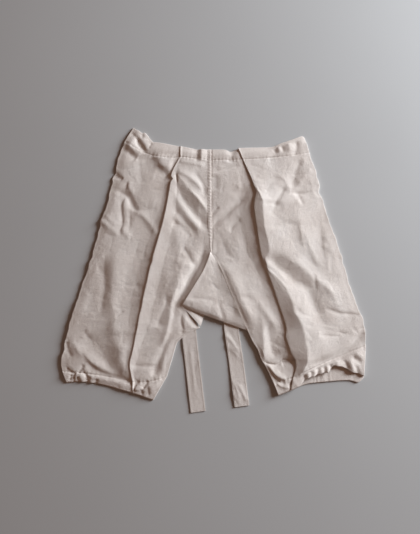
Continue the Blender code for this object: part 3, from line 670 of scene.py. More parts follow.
def tie_lift(x, y):
    """How far the cloth is lifted by the ties that lie under it."""
    lift = np.zeros(x.shape)
    for line in TIE_LINES.values():
        away = np.abs(beside(x, y, line)[0])
        lift = np.maximum(lift, ease(1.0 - (away - TIE_WIDTH / 2 - 3) / 16.0))
    return lift * TIE_LIFT


def at_least(z, floor, soft=0.35):
    """z kept over a floor, with a soft join."""
    return floor + soft * np.logaddexp(0.0, (z - floor) / soft)


def profile(side, name, y):
    """One column of a leg's table of heights, at these places down it."""
    rows = PROFILES[side]
    return np.interp(-y, [-row.y for row in rows], [getattr(row, name) for row in rows])


def seam_pucker(x, y, line, groove=0.5, depth=0.22, spacing=7.5, reach=4.0):
    """The groove that a row of stitches draws into the cloth, with small puckers across it."""
    away, share, _ = beside(x, y, line)
    place = share * length_of(line)
    wobble = np.sin(place / 23.0) * 2.2 + np.sin(place / 9.1 + 1.0) * 0.9
    ribs = np.sin(place * 2 * math.pi / spacing + wobble)
    return depth * ribs * np.exp(-np.abs(away) / reach) - groove * hump(away, 1.3)


def seam_ribs(y, away, start):
    """Small puckers across the cloth along the centre seam."""
    ribs = np.sin(y * 2 * math.pi / 9.0 + 1.7 * np.sin(y / 11.0 + start) + start)
    return 0.22 * ribs * np.exp(-away / 7.0) * ease((y - 14.0) / 20.0)


def strip_half(y):
    """Half the felled strip's width. It narrows to the gusset."""
    return STRIP_HALF - 3.2 * ease((52 - y) / 26.0)


def seam_line():
    """The centre seam from the waist casing's edge to the gusset."""
    return smooth([SEAM_TOP, *(s.right for s in LEFT_SECTIONS[: APEX_ROW + 1])], STEPS)


# Lines of a leg


def side_line(first, last, bow, t):
    """Points along each row from first to last, bowed up in the middle."""
    points = blend(first[:, None], last[:, None], t[..., None])
    points[..., 1] += bow * 4.0 * t * (1.0 - t)
    return points


def stretches(section, count):
    """A section's lines on both sides of the pleat's fold."""
    ends = np.array([[section.left, section.fold], [section.fold, section.right]], float)
    bows = np.array([[section.left_bow], [section.right_bow]], float)
    return list(side_line(ends[:, 0], ends[:, 1], bows, np.linspace(0, 1, count)))


def inner_edge(side, sections, steps):
    """A leg's seam, and its inner edge below the gusset."""
    return smooth([s.right if side == "left" else s.left for s in sections], steps, SEAM_CORNERS)


def leg_lines(side, sections, steps):
    """A leg's left edge, fold and right edge from the waist down, and its rows' bows beside the fold."""
    ends = smooth([(*s.left, *s.fold, *s.right, s.left_bow, s.right_bow) for s in sections], steps)
    inner = inner_edge(side, sections, steps)
    left, right = (ends[:, 0:2], inner) if side == "left" else (inner, ends[:, 4:6])
    return left, ends[:, 2:4], right, ends[:, 6:]


def cut_notches(line, notches):
    for notch in notches:
        line[:, 0] += notch.depth * hump(line[:, 1] - notch.y, notch.width)


def crease_share(side, fold, right, bow):
    """Where the crease beside the pleat crosses each row, as a share of the way from fold to right edge."""
    line = np.array(CREASES[side], float)
    y = fold[:, 1]
    for _ in range(3):
        x = np.interp(-y, -line[:, 1], line[:, 0])
        share = (x - fold[:, 0]) / (right[:, 0] - fold[:, 0])
        y = fold[:, 1] + (right[:, 1] - fold[:, 1]) * share + bow * 4 * share * (1 - share)
    return np.clip(share, 0.02, 0.7)[:, None]


def centre_shares(crease):
    """Shares across the cloth right of the fold, closer together by it, with one column on the crease."""
    band = np.linspace(0.0, 1.0, BAND_COLUMNS, endpoint=False)
    rest = np.linspace(0.0, 1.0, CENTRE_COLUMNS)
    return np.concatenate([crease * band, blend(crease, 1.0, rest)], axis=1)


def casing_rows(edge, panel, shares):
    """A casing's rows from its outer edge to just before the panel's end row."""
    line = resample(smooth(edge, EDGE_STEPS), shares)
    line = line + unit(panel - line) * CASING_INSET
    return blend(line, panel, (np.arange(CASING_ROWS) / CASING_ROWS)[:, None, None])


def stitch_routes(side):
    """Lines of the casings' stitches on a leg: at the waist and at the hem."""
    return [line for k in (0, -1) for line in stretches(SECTIONS[side][k], 9)]


def casing_stitch(side, x, y):
    return sum(seam_pucker(x, y, line) for line in stitch_routes(side))


# The leg as one cloth: rows from the waist edge to the hem, columns from edge to edge through the pleat

Leg = namedtuple("Leg", "cloth waist panel hem")


@functools.cache
def leg_cloth(side):
    """The whole front of a leg as a grid of points on its middle surface, and which rows are which piece."""
    left, fold, right, bows = leg_lines(side, SECTIONS[side], STEPS)
    cut_notches(fold, FOLD_NOTCHES[side])
    crease = crease_share(side, fold, right, bows[:, 1])
    outer = left if side == "left" else right
    place = outer[:, 1] / 10.0
    outer[:, 0] += 0.8 * np.sin(place * 1.3 + 2 * np.sin(place * 0.37)) + 0.4 * np.sin(place * 3.1)
    cut_notches(outer, NOTCHES[side])

    # Room for the rounded edges, which stand out by a share of their height
    left = left + unit(fold - left) * roll_reach(side, "left", left[:, 1:])
    right = right - unit(right - fold) * roll_reach(side, "right", right[:, 1:])

    width = np.linalg.norm(right - fold, axis=1)[:, None]
    depth = np.minimum(PLEAT_DEPTH, 0.55 * width)
    stretch_shares = (
        np.tile(np.linspace(0.0, 1.0, SIDE_COLUMNS), (len(left), 1)),
        depth / width * np.linspace(0.0, 1.0, HIDDEN_COLUMNS),
        centre_shares(crease),
    )
    parts = []
    for k, shares in enumerate(stretch_shares):
        ends = (fold, right) if k else (left, fold)
        past = min(k, 1)
        body = side_line(*ends, bows[:, past, None], shares)
        top = casing_rows(WAIST_EDGES[side][past], body[0], shares[0])
        low = casing_rows(HEM_EDGES[side][past], body[-1], shares[-1])[::-1]
        parts.append(np.concatenate([top, body, low]))
    first, hidden, second = parts
    ramp = np.arange(1, CASING_ROWS + 1) / CASING_ROWS
    down = np.concatenate([-ramp[::-1], np.zeros(len(left)), ramp])
    z_first, z_hidden, z_middle, z_second = leg_heights(side, first, hidden, second, down)

    # A casing's edge goes in where it is gathered down and out where it puffs up
    for part, height in ((first, z_first), (second, z_second)):
        kernel = np.ones(PUFF_COLUMNS) / PUFF_COLUMNS
        wide = np.pad(height, ((0, 0), (PUFF_COLUMNS // 2, PUFF_COLUMNS // 2)), mode="edge")
        puff = np.clip(height - [np.convolve(row, kernel, "valid") for row in wide], -1.6, 1.6)
        way = unit(np.gradient(part, axis=0)) * np.where(down < 0, -1.0, 1.0)[:, None, None]
        part += way * (puff * 0.9 * (down**2)[:, None])[..., None]

    # Round the inner turn and the fold edge
    bulge = unit(hidden[:, -1:] - hidden[:, :1]) * (np.sin(TURN_ANGLES) * LAYER / 2)[:, None]
    rise = 0.5 - 0.5 * np.cos(TURN_ANGLES)
    turn = lay(hidden[:, -1:] + bulge, blend(z_hidden[:, -1:], z_middle[:, -1:], rise))
    edge = lay(second[:, :1] - bulge, blend(z_middle[:, :1], z_second[:, :1], rise))
    layers = (lay(first, z_first), lay(hidden, z_hidden)[:, 1:], turn, lay(hidden, z_middle)[:, ::-1], edge,
              lay(second, z_second))
    cloth = with_side_rolls(side, np.concatenate(layers, axis=1))
    hem = CASING_ROWS + len(left)
    return Leg(cloth, slice(0, CASING_ROWS + 1), slice(CASING_ROWS, hem), slice(hem - 1, None))


def roll_reach(side, edge, y):
    """How far a side edge rounds out. At a seam it only turns down a little."""
    free = (profile(side, edge, y) - EDGE_BOTTOM) * ROLL_SHARE[edge]
    return blend(free, 0.35, sewn_share(side, edge, y))


def sewn_share(side, edge, y):
    """1 where this edge is sewn to the other leg or to the gusset, 0 where it is free."""
    if side == edge:
        return np.zeros(np.shape(y))
    return ease((y - SEWN_DOWN_TO[side]) / 8.0)


def loft(side, x, y, down):
    """The height that a leg's cloth comes to by itself, and the lowest that it can lie."""
    ties = tie_lift(x, y)
    return LOFT_Z + casing_puff(side, down) + swell(x, y, LEG_SWELL, 0.3) + ties * 0.3, FRONT_Z + ties


def creased(side, x, y, folds):
    """What a leg's own folds and its small creases add."""
    return fold_heights(x, y, folds, FOLD_GAIN[side]) + fold_heights(x, y, leg_crumples(side))


def leg_heights(side, first, hidden, second, down):
    """Heights of the cloth left of the pleat, of its two hidden layers and of the cloth right of the fold."""
    down = down[:, None]
    z_first = heights_left(side, first, down)
    floor = FRONT_Z + 0.25 + tie_lift(*parted(hidden))
    run = away_from(hidden, 0)
    z_hidden = blend(z_first[:, -1:], floor, ease(run / 11.0))
    over = floor.max(axis=1, keepdims=True) + 2 * LAYER
    z_second = heights_right(side, second, down, over, run[:, -1:])

    # The fold lies on the cloth beside it
    from_fold = away_from(second, 0)
    need = z_first[:, -1:] + 2 * LAYER + 0.1 - z_second[:, :1]
    z_second = z_second + np.maximum(need, 0.0) * np.exp(-from_fold / 15.0)

    # The middle layer follows the top one at the fold and the bottom one at the inner turn
    above = np.stack([np.interp(*row) for row in zip(run, from_fold, z_second)])
    z_middle = blend(above - LAYER, z_hidden + LAYER, ease(run / np.maximum(run[:, -1:], 1e-6)))
    return z_first, z_hidden, z_middle, z_second


def heights_left(side, xy, down):
    """Heights left of the pleat, where the cloth climbs to the fold that lies on it."""
    x, y = parted(xy)
    from_left = away_from(xy, 0)
    z, floor = loft(side, x, y, down)
    edge_run = EDGE_RUN + 23.0 * sewn_share(side, "left", y[:, :1])
    z = z + (profile(side, "left", y[:, :1]) - LOFT_Z) * (1 - ease(from_left / edge_run))
    climb = np.clip(1 - away_from(xy, -1) / profile(side, "reach", y), 0, 1)
    z = z + (profile(side, "lean", y) - LOFT_Z) * blend(climb, climb**3, 0.3)
    near_seam = ease(from_left / 9.0) if side == "right" else 1.0
    z = z + creased(side, x, y, LEG_FOLDS[side][0]) * near_seam + casing_stitch(side, x, y)
    if side == "right":
        groove = hump(from_left - strip_half(y) - 0.3, 1.9) * ease((y - 12.0) / 20.0)
        z = z - 0.6 * groove + seam_ribs(y, from_left, 0.0)
    return at_least(z, floor)


def heights_right(side, xy, down, over, depth):
    """Heights right of the fold: over the pleat's hidden layers as far as its depth, then on the back."""
    x, y = parted(xy)
    from_fold, from_right = away_from(xy, 0), away_from(xy, -1)
    to_crease = from_fold[:, BAND_COLUMNS, None]
    z, floor = loft(side, x, y, down)
    z = z + crease_lift(side, y, from_fold, to_crease)
    z = z + (profile(side, "right", y[:, -1:]) - LOFT_Z) * (1 - ease(from_right / EDGE_RUN))
    near_seam = ease(from_right / 5.0) if side == "left" else 1.0
    band = (1 - ease(np.abs(down) * 3)) * (1 - ease((from_fold / to_crease - 0.5) / 0.7))
    z = z + creased(side, x, y, LEG_FOLDS[side][1]) * near_seam * (1 - 0.8 * band) + casing_stitch(side, x, y)
    if side == "left":
        z = z + seam_ribs(y, from_right, 2.0)
    return at_least(z, np.maximum(floor, blend(over, floor, ease((from_fold - depth) / 8.0))))


def crease_lift(side, y, from_fold, to_crease):
    """How far the cloth beside the fold edge stands over the rest."""
    fold, crease, crown, at = (profile(side, name, y) for name in ("fold", "crease", "crown", "at"))
    past = np.maximum(from_fold - to_crease, 0.0)
    beyond = blend(crown, crease, np.clip(1.0 - past / at, 0.0, 1.0) ** 1.6)
    beyond = blend(beyond, LOFT_Z, ease((past - at) / 60.0))
    band = blend(fold, crease, np.clip(from_fold / to_crease, 0.0, 1.0))
    return np.where(from_fold < to_crease, band, beyond) - LOFT_Z


@functools.cache
def leg_crumples(side):
    return tuple(crumples(*LEG_CRUMPLES[side]))


def casing_puff(side, down):
    """An elastic casing's roundness. down runs from -1 at the waist edge to 0, and on to 1 at the hem."""
    puff = 0.7 * np.sin(np.pi * np.clip(np.abs(down), 0, 1))
    waist = WAIST_EDGE_RISE * ease((-down - 0.45) / 0.55)
    return puff + waist + HEM_EDGE_RISE[side] * ease((down - 0.3) / 0.7)


def with_side_rolls(side, cloth):
    """Adds the columns that round each side edge down and turn back under it."""
    for edge in ("left", "right"):
        cloth = cloth[:, ::-1] if edge == "left" else cloth
        at, top = cloth[:, -1:, :2], cloth[:, -1:, 2]
        sewn = sewn_share(side, edge, at[..., 1])
        out = unit(at - cloth[:, -4, None, :2])
        bottom = np.minimum(blend(EDGE_BOTTOM, top - 1.1, sewn), top - 0.9)
        near = lay(at - out * 0.35, blend(top, cloth[:, -2, None, 2], 0.3))
        reach = roll_reach(side, edge, at[..., 1]) * np.sin(ROLL_ANGLES)
        turned = lay(at + out * reach[..., None], blend(bottom, top, 0.5 + 0.5 * np.cos(ROLL_ANGLES)))
        under = lay(at - out * blend(4.0, 0.4, sewn)[..., None], bottom)
        cloth = np.concatenate([cloth[:, :-1], near, cloth[:, -1:], turned, under], axis=1)
        cloth = cloth[:, ::-1] if edge == "left" else cloth
    return cloth


def with_edge_roll(cloth, bottom, back, at_top=False):
    """Adds rows that round a piece's lower or upper edge down to a height and turn back under it."""
    cloth = cloth[::-1] if at_top else cloth
    at, top = cloth[-1, :, :2], cloth[-1, :, 2]
    out = unit(at - cloth[-4, :, :2])
    low = np.minimum(bottom, top)
    reach = np.minimum((top - low) * 0.5, 1.4)
    rows = [lay(at + out * (math.sin(a) * reach)[:, None], blend(low, top, 0.5 + 0.5 * math.cos(a)))
            for a in ROLL_ANGLES]
    rows.append(lay(at - out * back, low))
    cloth = np.concatenate([cloth, rows])
    return cloth[::-1] if at_top else cloth


# Making meshes


def deselect():
    bpy.ops.object.select_all(action="DESELECT")


def only(made):
    deselect()
    made.select_set(True)
    bpy.context.view_layer.objects.active = made


def sheet_from(name, cloth, wall, look, anchor=0):
    """A sheet of cloth: a grid put where its rows and columns say, then given its thickness. Its threads run
    along the column anchor."""
    rows, columns = cloth.shape[:2]
    deselect()
    bpy.ops.mesh.primitive_grid_add(x_subdivisions=columns - 1, y_subdivisions=rows - 1, calc_uvs=True)
    made = bpy.context.active_object
    made.name = made.data.name = name
    if len(made.data.vertices) != rows * columns:
        raise RuntimeError(f"{name}: the grid has {len(made.data.vertices)} points, not {rows * columns}")
    points = (cloth - (*MIDDLE, 0.0))[::-1] * MM
    made.data.vertices.foreach_set("co", points.astype(np.float32).ravel())
    across, along = (
        np.cumsum(np.linalg.norm(np.diff(points, axis=axis, prepend=start), axis=2), axis=axis)
        for axis, start in ((1, points[:, :1]), (0, points[:1]))
    )
    across -= across[:, anchor, None]
    corners = np.empty(len(made.data.loops), np.int32)
    made.data.loops.foreach_get("vertex_index", corners)
    threads = np.stack([across, along], axis=-1).reshape(-1, 2)[corners]
    made.data.uv_layers.active.data.foreach_set("uv", threads.astype(np.float32).ravel())
    made.data.update()
    thickness = made.modifiers.new("Thickness", "SOLIDIFY")
    thickness.thickness = wall
    thickness.offset = 0.0
    only(made)
    bpy.ops.object.modifier_apply(modifier=thickness.name)
    bpy.ops.object.shade_smooth_by_angle(angle=math.radians(50))
    made.data.materials.clear()
    made.data.materials.append(look)
    return made


def place(made, slot, *nodes):
    """Puts a piece on the body instead of its CAD nodes. slot is not used."""
    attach(made, "root")
    if nodes:
        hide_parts(*nodes)


def rows_between(first, last, columns, rows):
    """A grid of places between two lines."""
    shares = np.linspace(0, 1, columns)
    return blend(resample(first, shares), resample(last, shares), np.linspace(0, 1, rows)[:, None, None])


def ribbon(line, steps):
    """A tie's middle line and the way across it at each point."""
    middle = smooth(line, steps)
    step = unit(np.gradient(middle, axis=0))
    return middle, np.stack([-step[:, 1], step[:, 0]], axis=-1)


def back_z(x, y):
    """Heights of the cloth that lies at the back, over the ties."""
    return BACK_Z + tie_lift(x, y) + np.maximum(swell(x, y, BACK_SWELL, 0.35), 0.0)


def top_surface(names):
    """A reader of the highest surface of some pieces: height in millimetres at a place on the table."""
    trees = []
    for name in names:
        mesh = bpy.data.objects[name].data
        faces = [face.vertices for face in mesh.polygons]
        trees.append(BVHTree.FromPolygons([v.co for v in mesh.vertices], faces))

    def height(x, y):
        start = Vector(((x - MIDDLE[0]) * MM, (y - MIDDLE[1]) * MM, 0.1))
        hits = [tree.ray_cast(start, Vector((0, 0, -1)))[0] for tree in trees]
        return max([hit.z / MM for hit in hits if hit is not None], default=0.0)

    return height


# Finishes


def is_socket(value):
    return isinstance(value, bpy.types.NodeSocket)


def feed(tree, socket, value):
    """Links a socket to another, or gives it a value."""
    if is_socket(value):
        tree.links.new(value, socket)
    else:
        socket.default_value = value


def node_in(tree, kind, **values):
    """A node with its inputs fed by name."""
    node = tree.nodes.new(kind)
    for label, value in values.items():
        feed(tree, node.inputs[label.replace("_", " ")], value)
    return node


def math_node(tree, operation, *values, clamp=False):
    node = tree.nodes.new("ShaderNodeMath")
    node.operation = operation
    node.use_clamp = clamp
    for socket, value in zip(node.inputs, values):
        feed(tree, socket, value)
    return node.outputs[0]


def mixed(tree, share, first, second):
    """A colour between two, by a share that changes over the surface."""
    node = tree.nodes.new("ShaderNodeMix")
    node.data_type = "RGBA"
    for k, value in ((0, share), (6, first), (7, second)):
        feed(tree, node.inputs[k], value)
    return node.outputs[2]


def socket_group(name, inputs, outputs):
    group = bpy.data.node_groups.new(name, "ShaderNodeTree")
    for label, kind, value in inputs:
        made = group.interface.new_socket(name=label, in_out="INPUT", socket_type=kind)
        if value is not None:
            made.default_value = value
    for label in outputs:
        group.interface.new_socket(name=label, in_out="OUTPUT", socket_type="NodeSocketFloat")
    return group, group.nodes.new("NodeGroupInput").outputs, group.nodes.new("NodeGroupOutput").inputs


@functools.cache
def weave_group():
    """Plain weave from a cloth's own UV, in metres: its threads' height, and how open it is between them,
    which is where shade is painted.
    """
    group, given, result = socket_group(
        "PlainWeave",
        (("Cloth", "NodeSocketVector", None), ("Threads per metre", "NodeSocketFloat", 1400.0)),
        ("Height", "Gap"),
    )
    noise = node_in(group, "ShaderNodeTexNoise", Vector=given["Cloth"], Scale=260.0, Detail=2.0)
    parts = node_in(group, "ShaderNodeSeparateXYZ", Vector=given["Cloth"])
    wander = math_node(group, "MULTIPLY", noise.outputs["Fac"], 2.4)
    threads = math_node(group, "MULTIPLY", given["Threads per metre"], 2 * math.pi)
    warp, weft = (
        math_node(group, "SINE", math_node(group, "MULTIPLY_ADD", parts.outputs[way], threads, wander))
        for way in ("X", "Y")
    )
    over = math_node(group, "MULTIPLY", warp, weft)
    feed(group, result["Height"], math_node(group, "MULTIPLY_ADD", over, 0.5, 0.5))
    gap = math_node(group, "SUBTRACT", 1.0, math_node(group, "ABSOLUTE", over))
    feed(group, result["Gap"], math_node(group, "POWER", gap, 3.0))
    return group


@functools.cache
def tone_group():
    """Uneven tone of unbleached cotton: broad clouds, faint slubs along the threads and fine crumpling."""
    group, given, result = socket_group(
        "CottonTone", (("Cloth", "NodeSocketVector", None),), ("Cloud", "Slub", "Crumple")
    )
    cloth = given["Cloth"]
    fine = node_in(group, "ShaderNodeTexNoise", Vector=cloth, Scale=190.0, Detail=5.0, Roughness=0.62)
    crumple = math_node(group, "MULTIPLY", fine.outputs["Fac"], 0.17)

    # Soft creases: where two noises pass their middle
    for scale, detail, twist, weight in ((26.0, 1.0, 0.6, 0.3), (64.0, 1.5, 0.9, 0.2)):
        noise = node_in(group, "ShaderNodeTexNoise", Vector=cloth, Scale=scale, Detail=detail)
        noise.inputs["Distortion"].default_value = twist
        off = math_node(group, "ABSOLUTE", math_node(group, "SUBTRACT", noise.outputs["Fac"], 0.5))
        crease = math_node(group, "SMOOTH_MIN", off, 0.16, 0.08)
        crumple = math_node(group, "MULTIPLY_ADD", crease, weight, crumple)

    # Sharper creases between facets, in patches
    patches = node_in(group, "ShaderNodeTexNoise", Vector=cloth, Scale=14.0)
    shown = math_node(group, "MULTIPLY_ADD", patches.outputs["Fac"], 5.0, -2.1, clamp=True)
    bent = group.nodes.new("ShaderNodeVectorMath")
    bent.operation = "MULTIPLY_ADD"
    for k, value in enumerate((patches.outputs["Color"], (0.012, 0.012, 0.0), cloth)):
        feed(group, bent.inputs[k], value)
    for scale, weight in ((30.0, 0.55), (71.0, 0.3)):
        facets = node_in(group, "ShaderNodeTexVoronoi", Vector=bent.outputs[0], Scale=scale)
        facets.feature = "DISTANCE_TO_EDGE"
        edge = math_node(group, "SMOOTH_MIN", facets.outputs["Distance"], 0.13, 0.05)
        crumple = math_node(group, "MULTIPLY_ADD", math_node(group, "MULTIPLY", edge, shown), weight, crumple)
    feed(group, result["Crumple"], crumple)

    cloud = node_in(group, "ShaderNodeTexNoise", Vector=cloth, Scale=17.0, Detail=4.0)
    feed(group, result["Cloud"], cloud.outputs["Fac"])
    stretch = node_in(group, "ShaderNodeMapping", Vector=cloth, Scale=(60.0, 900.0, 1.0))
    slub = node_in(group, "ShaderNodeTexNoise", Vector=stretch.outputs["Vector"], Scale=1.0, Detail=3.0)
    feed(group, result["Slub"], slub.outputs["Fac"])
    return group


def new_look(name):
    look = bpy.data.materials.new(name)
    look.use_nodes = True
    return look, look.node_tree, look.node_tree.nodes["Principled BSDF"]


def cotton_look(name, colour, shade, threads):
    """Woven cotton: its own weave, uneven tone, slubs and fine crumples, with shade painted between its
    threads.
    """
    look, tree, shader = new_look(name)
    for label, value in COTTON_SHADER.items():
        shader.inputs[label].default_value = value
    cloth = tree.nodes.new("ShaderNodeUVMap").outputs["UV"]
    weave, tone = (tree.nodes.new("ShaderNodeGroup") for _ in range(2))
    weave.node_tree, tone.node_tree = weave_group(), tone_group()
    feed(tree, weave.inputs["Threads per metre"], threads)
    for node in (weave, tone):
        feed(tree, node.inputs["Cloth"], cloth)
    cloud = math_node(tree, "MULTIPLY_ADD", tone.outputs["Cloud"], 1.6, -0.45)
    share = math_node(tree, "MULTIPLY_ADD", tone.outputs["Slub"], 0.5, cloud, clamp=True)
    base = mixed(tree, share, colour, shade)
    # Shade is painted into the gaps between threads: the base colour there goes part way to the duller
    # colour, darker still.
    gap_shade = math_node(tree, "MULTIPLY", weave.outputs["Gap"], 0.22)
    dark = (*(c * d for c, d in zip(shade, PAINTED_SHADE_BETWEEN_THREADS)), 1.0)
    feed(tree, shader.inputs["Base Color"], mixed(tree, gap_shade, base, dark))
    crumple, thread = tone.outputs["Crumple"], weave.outputs["Height"]
    rough = node_in(tree, "ShaderNodeBump", Distance=CRUMPLE_DEPTH, Strength=0.7, Height=crumple)
    woven = node_in(tree, "ShaderNodeBump", Distance=WEAVE_DEPTH, Strength=0.6, Height=thread)
    feed(tree, woven.inputs["Normal"], rough.outputs["Normal"])
    feed(tree, shader.inputs["Normal"], woven.outputs["Normal"])
    return look


def plain_look(name, colour, grain, roughness, gloss=0.5):
    """A matt finish with a slight uneven tone."""
    look, tree, shader = new_look(name)
    shader.inputs["Roughness"].default_value = roughness
    shader.inputs["Specular IOR Level"].default_value = gloss
    places = tree.nodes.new("ShaderNodeTexCoord")
    noise = node_in(tree, "ShaderNodeTexNoise", Vector=places.outputs["Object"], Scale=grain)
    darker = (*(c * 0.94 for c in colour[:3]), 1.0)
    feed(tree, shader.inputs["Base Color"], mixed(tree, noise.outputs["Fac"], colour, darker))
    return look


@functools.cache
def looks():
    colours = bpy.context.scene.hakama_colours
    return {
        "panel": cotton_look("PanelCotton", tuple(colours.cotton), tuple(colours.cotton_shade), 1250.0),
        "casing": cotton_look("CasingCotton", tuple(colours.casing), tuple(colours.cotton_shade), 1250.0),
        "tie": cotton_look("TieCotton", tuple(colours.tie), tuple(colours.tie_shade), 1400.0),
        "thread": plain_look("Thread", tuple(colours.thread), 900.0, 0.7),
    }


# Sizes, colours and studio


def colour_prop(name, description, default):
    return bpy.props.FloatVectorProperty(
        name=name, description=description, subtype="COLOR", size=4, min=0.0, max=1.0, default=(*default, 1.0)
    )


def length_prop(name, description, default):
    return bpy.props.FloatProperty(name=name, description=description, default=default, unit="LENGTH")


def angle_prop(name, description, degrees):
    return bpy.props.FloatProperty(
        name=name, description=description, default=math.radians(degrees), subtype="ANGLE"
    )


class HakamaSizes(bpy.types.PropertyGroup):
    wall: length_prop("Cloth", "Thickness of the cotton", 0.0005)
    casing_wall: length_prop("Casing", "Thickness of the casings' cloth", 0.0006)
    tie_wall: length_prop("Tie", "Thickness of a tie", 0.0009)
    stitch: length_prop("Stitch", "Length of one stitch", 0.0026)
    stitch_gap: length_prop("Stitch gap", "Gap between two stitches", 0.0009)
    thread: length_prop("Thread", "Thickness of the sewing thread", 0.0005)


class HakamaColours(bpy.types.PropertyGroup):
    cotton: colour_prop("Cotton", "The panels' cotton", (0.785, 0.73, 0.69))
    cotton_shade: colour_prop("Cotton, darker", "Its duller threads", (0.70, 0.62, 0.57))
    casing: colour_prop("Casing", "The doubled cloth of the casings", (0.81, 0.745, 0.70))
    tie: colour_prop("Tie", "The ties' cotton", (0.78, 0.72, 0.68))
    tie_shade: colour_prop("Tie, darker", "Its duller threads", (0.68, 0.61, 0.565))
    thread: colour_prop("Thread", "Sewing thread", (0.70, 0.63, 0.57))
    floor: colour_prop("Floor", "The plain pale floor", (0.50, 0.50, 0.50))


class HakamaStudio(bpy.types.PropertyGroup):
    lens: bpy.props.FloatProperty(
        name="Lens", description="Focal length on a 36 mm sensor", default=30.337, subtype="DISTANCE_CAMERA"
    )
    tilt: angle_prop("Tilt", "How far the camera leans from straight down", 12)
    distance: length_prop("Distance", "From the camera to the cloth", 0.9)
    key_angle: angle_prop("Key height", "Height of the key light over the floor", 17)
    key_turn: angle_prop("Key turn", "The key light's turn from the right, towards the waist", 25)
    key_distance: length_prop("Key distance", "From the key light to the cloth", 2.6)
    key_size: length_prop("Key size", "Width of its soft box", 1.14)
    key_power: bpy.props.FloatProperty(
        name="Key power", description="Power of the key light", default=140.0, unit="POWER"
    )
    fill: bpy.props.FloatProperty(name="Fill", description="Strength of the light all round", default=0.15)


# Operators


class HAKAMA_OT_fronts(bpy.types.Operator):
    """Lays the front panels, each with its pleat"""

    bl_idname = "hakama.fronts"
    bl_label = "Front panels"

    def execute(self, context):
        wall = context.scene.hakama_sizes.wall
        by_fold = SIDE_COLUMNS + ROLL_STEPS + 1
        for side, flat, area in (("left", (0.27, 0.50), 0.118), ("right", (0.30, 0.48), 0.124)):
            leg = leg_cloth(side)
            made = sheet_from(f"panel_front_{side}", leg.cloth[leg.panel], wall, looks()["panel"], by_fold)
            place(made, "panel", f"front_{side}")
        return {"FINISHED"}


class HAKAMA_OT_backs(bpy.types.Operator):
    """Lays the back panels flat on the floor and over the ties"""

    bl_idname = "hakama.backs"
    bl_label = "Back panels"

    def execute(self, context):
        wall = context.scene.hakama_sizes.wall
        for side, flat, area in (("left", (0.23, 0.48), 0.09), ("right", (0.26, 0.46), 0.095)):
            left, fold, right, bows = leg_lines(side, BACK_SECTIONS[side], BACK_STEPS)
            left = left + unit(fold - left) * (BACK_INSET if side == "left" else BACK_SEAM_INSET)
            right = right - unit(right - fold) * (BACK_INSET if side == "right" else BACK_SEAM_INSET)
            t = np.linspace(0, 1, BACK_COLUMNS)
            halves = side_line(left, fold, bows[:, :1], t), side_line(fold, right, bows[:, 1:], t)[:, 1:]
            xy = np.concatenate(halves, axis=1)
            made = sheet_from(f"panel_back_{side}", lay(xy, back_z(*parted(xy))), wall, looks()["panel"])
            place(made, "panel", f"back_{side}")
        return {"FINISHED"}


class HAKAMA_OT_gusset(bpy.types.Operator):
    """Sets in the folded gusset between the legs"""

    bl_idname = "hakama.gusset"
    bl_label = "Gusset"

    def execute(self, context):
        wall = context.scene.hakama_sizes.wall
        rows = slice(APEX_ROW * STEPS, CORNER_ROW * STEPS + 1)
        left = inner_edge("left", LEFT_SECTIONS, STEPS)[rows] - (GUSSET_OVERLAP, 0.0)
        right = inner_edge("right", RIGHT_SECTIONS, STEPS)[rows] + (GUSSET_OVERLAP, 0.0)
        t = np.linspace(0, 1, GUSSET_COLUMNS)
        xy = blend(left[:, None], right[:, None], t[:, None])
        cloth = with_edge_roll(lay(xy, self.heights(xy, t, rows)), EDGE_BOTTOM + 1.1, 5.0)
        made = sheet_from("gusset_top", cloth, wall, looks()["panel"])
        place(made, "panel", "gusset_front")

        bottom = [left[-1], *TUCK[1:], xy[-1, GUSSET_FOLD_COLUMN], right[-1]]
        top = [left[0], (left[0] + right[0]) / 2, right[0]]
        xy = rows_between(smooth(top, 3), bottom, 34, 34)
        x, y = parted(xy)
        tuck = ease(1.2 - np.abs(beside(x, y, TUCK[:3])[0]) / 14.0) * ease((-84.0 - y) / 16.0)
        cloth = lay(xy, back_z(x, y) + 0.1 + TUCK_RISE * tuck)
        made = sheet_from("gusset_under", cloth, wall, looks()["panel"])
        place(made, "panel", "gusset_back")
        return {"FINISHED"}

    def heights(self, xy, t, rows):
        """Heights of the front half: from just over the left leg's edge to just under the right one's."""
        x, y = parted(xy)
        on_leg = slice(CASING_ROWS + rows.start, CASING_ROWS + rows.stop)
        edge_left = leg_cloth("left").cloth[on_leg, -ROLL_STEPS - 2, 2:] + 0.9
        edge_right = leg_cloth("right").cloth[on_leg, ROLL_STEPS + 1, 2:] - 0.12
        level = np.minimum(edge_right, 4.0)
        rise_width = 12.0 + 13.0 * ease((10.0 - y[:, :1]) / 80.0)
        rise = np.clip(1 - away_from(xy, -1) / rise_width, 0, 1) ** 1.8
        z = blend(edge_left, level, t) + (edge_right - level) * rise
        added = 0.6 * swell(x, y, GUSSET_SWELL) + fold_heights(x, y, GUSSET_FOLDS, FOLD_GAIN["gusset"])
        added += fold_heights(x, y, crumples(*GUSSET_CRUMPLES))
        z += added * ease(8 * t) * ease(8 * (1 - t))
        down = np.linspace(0, 1, len(x))[:, None]
        z += 0.9 * hump(down - 0.86, 0.1) - ease((down - 0.93) / 0.07)
        return at_least(z, FRONT_Z + tie_lift(x, y))


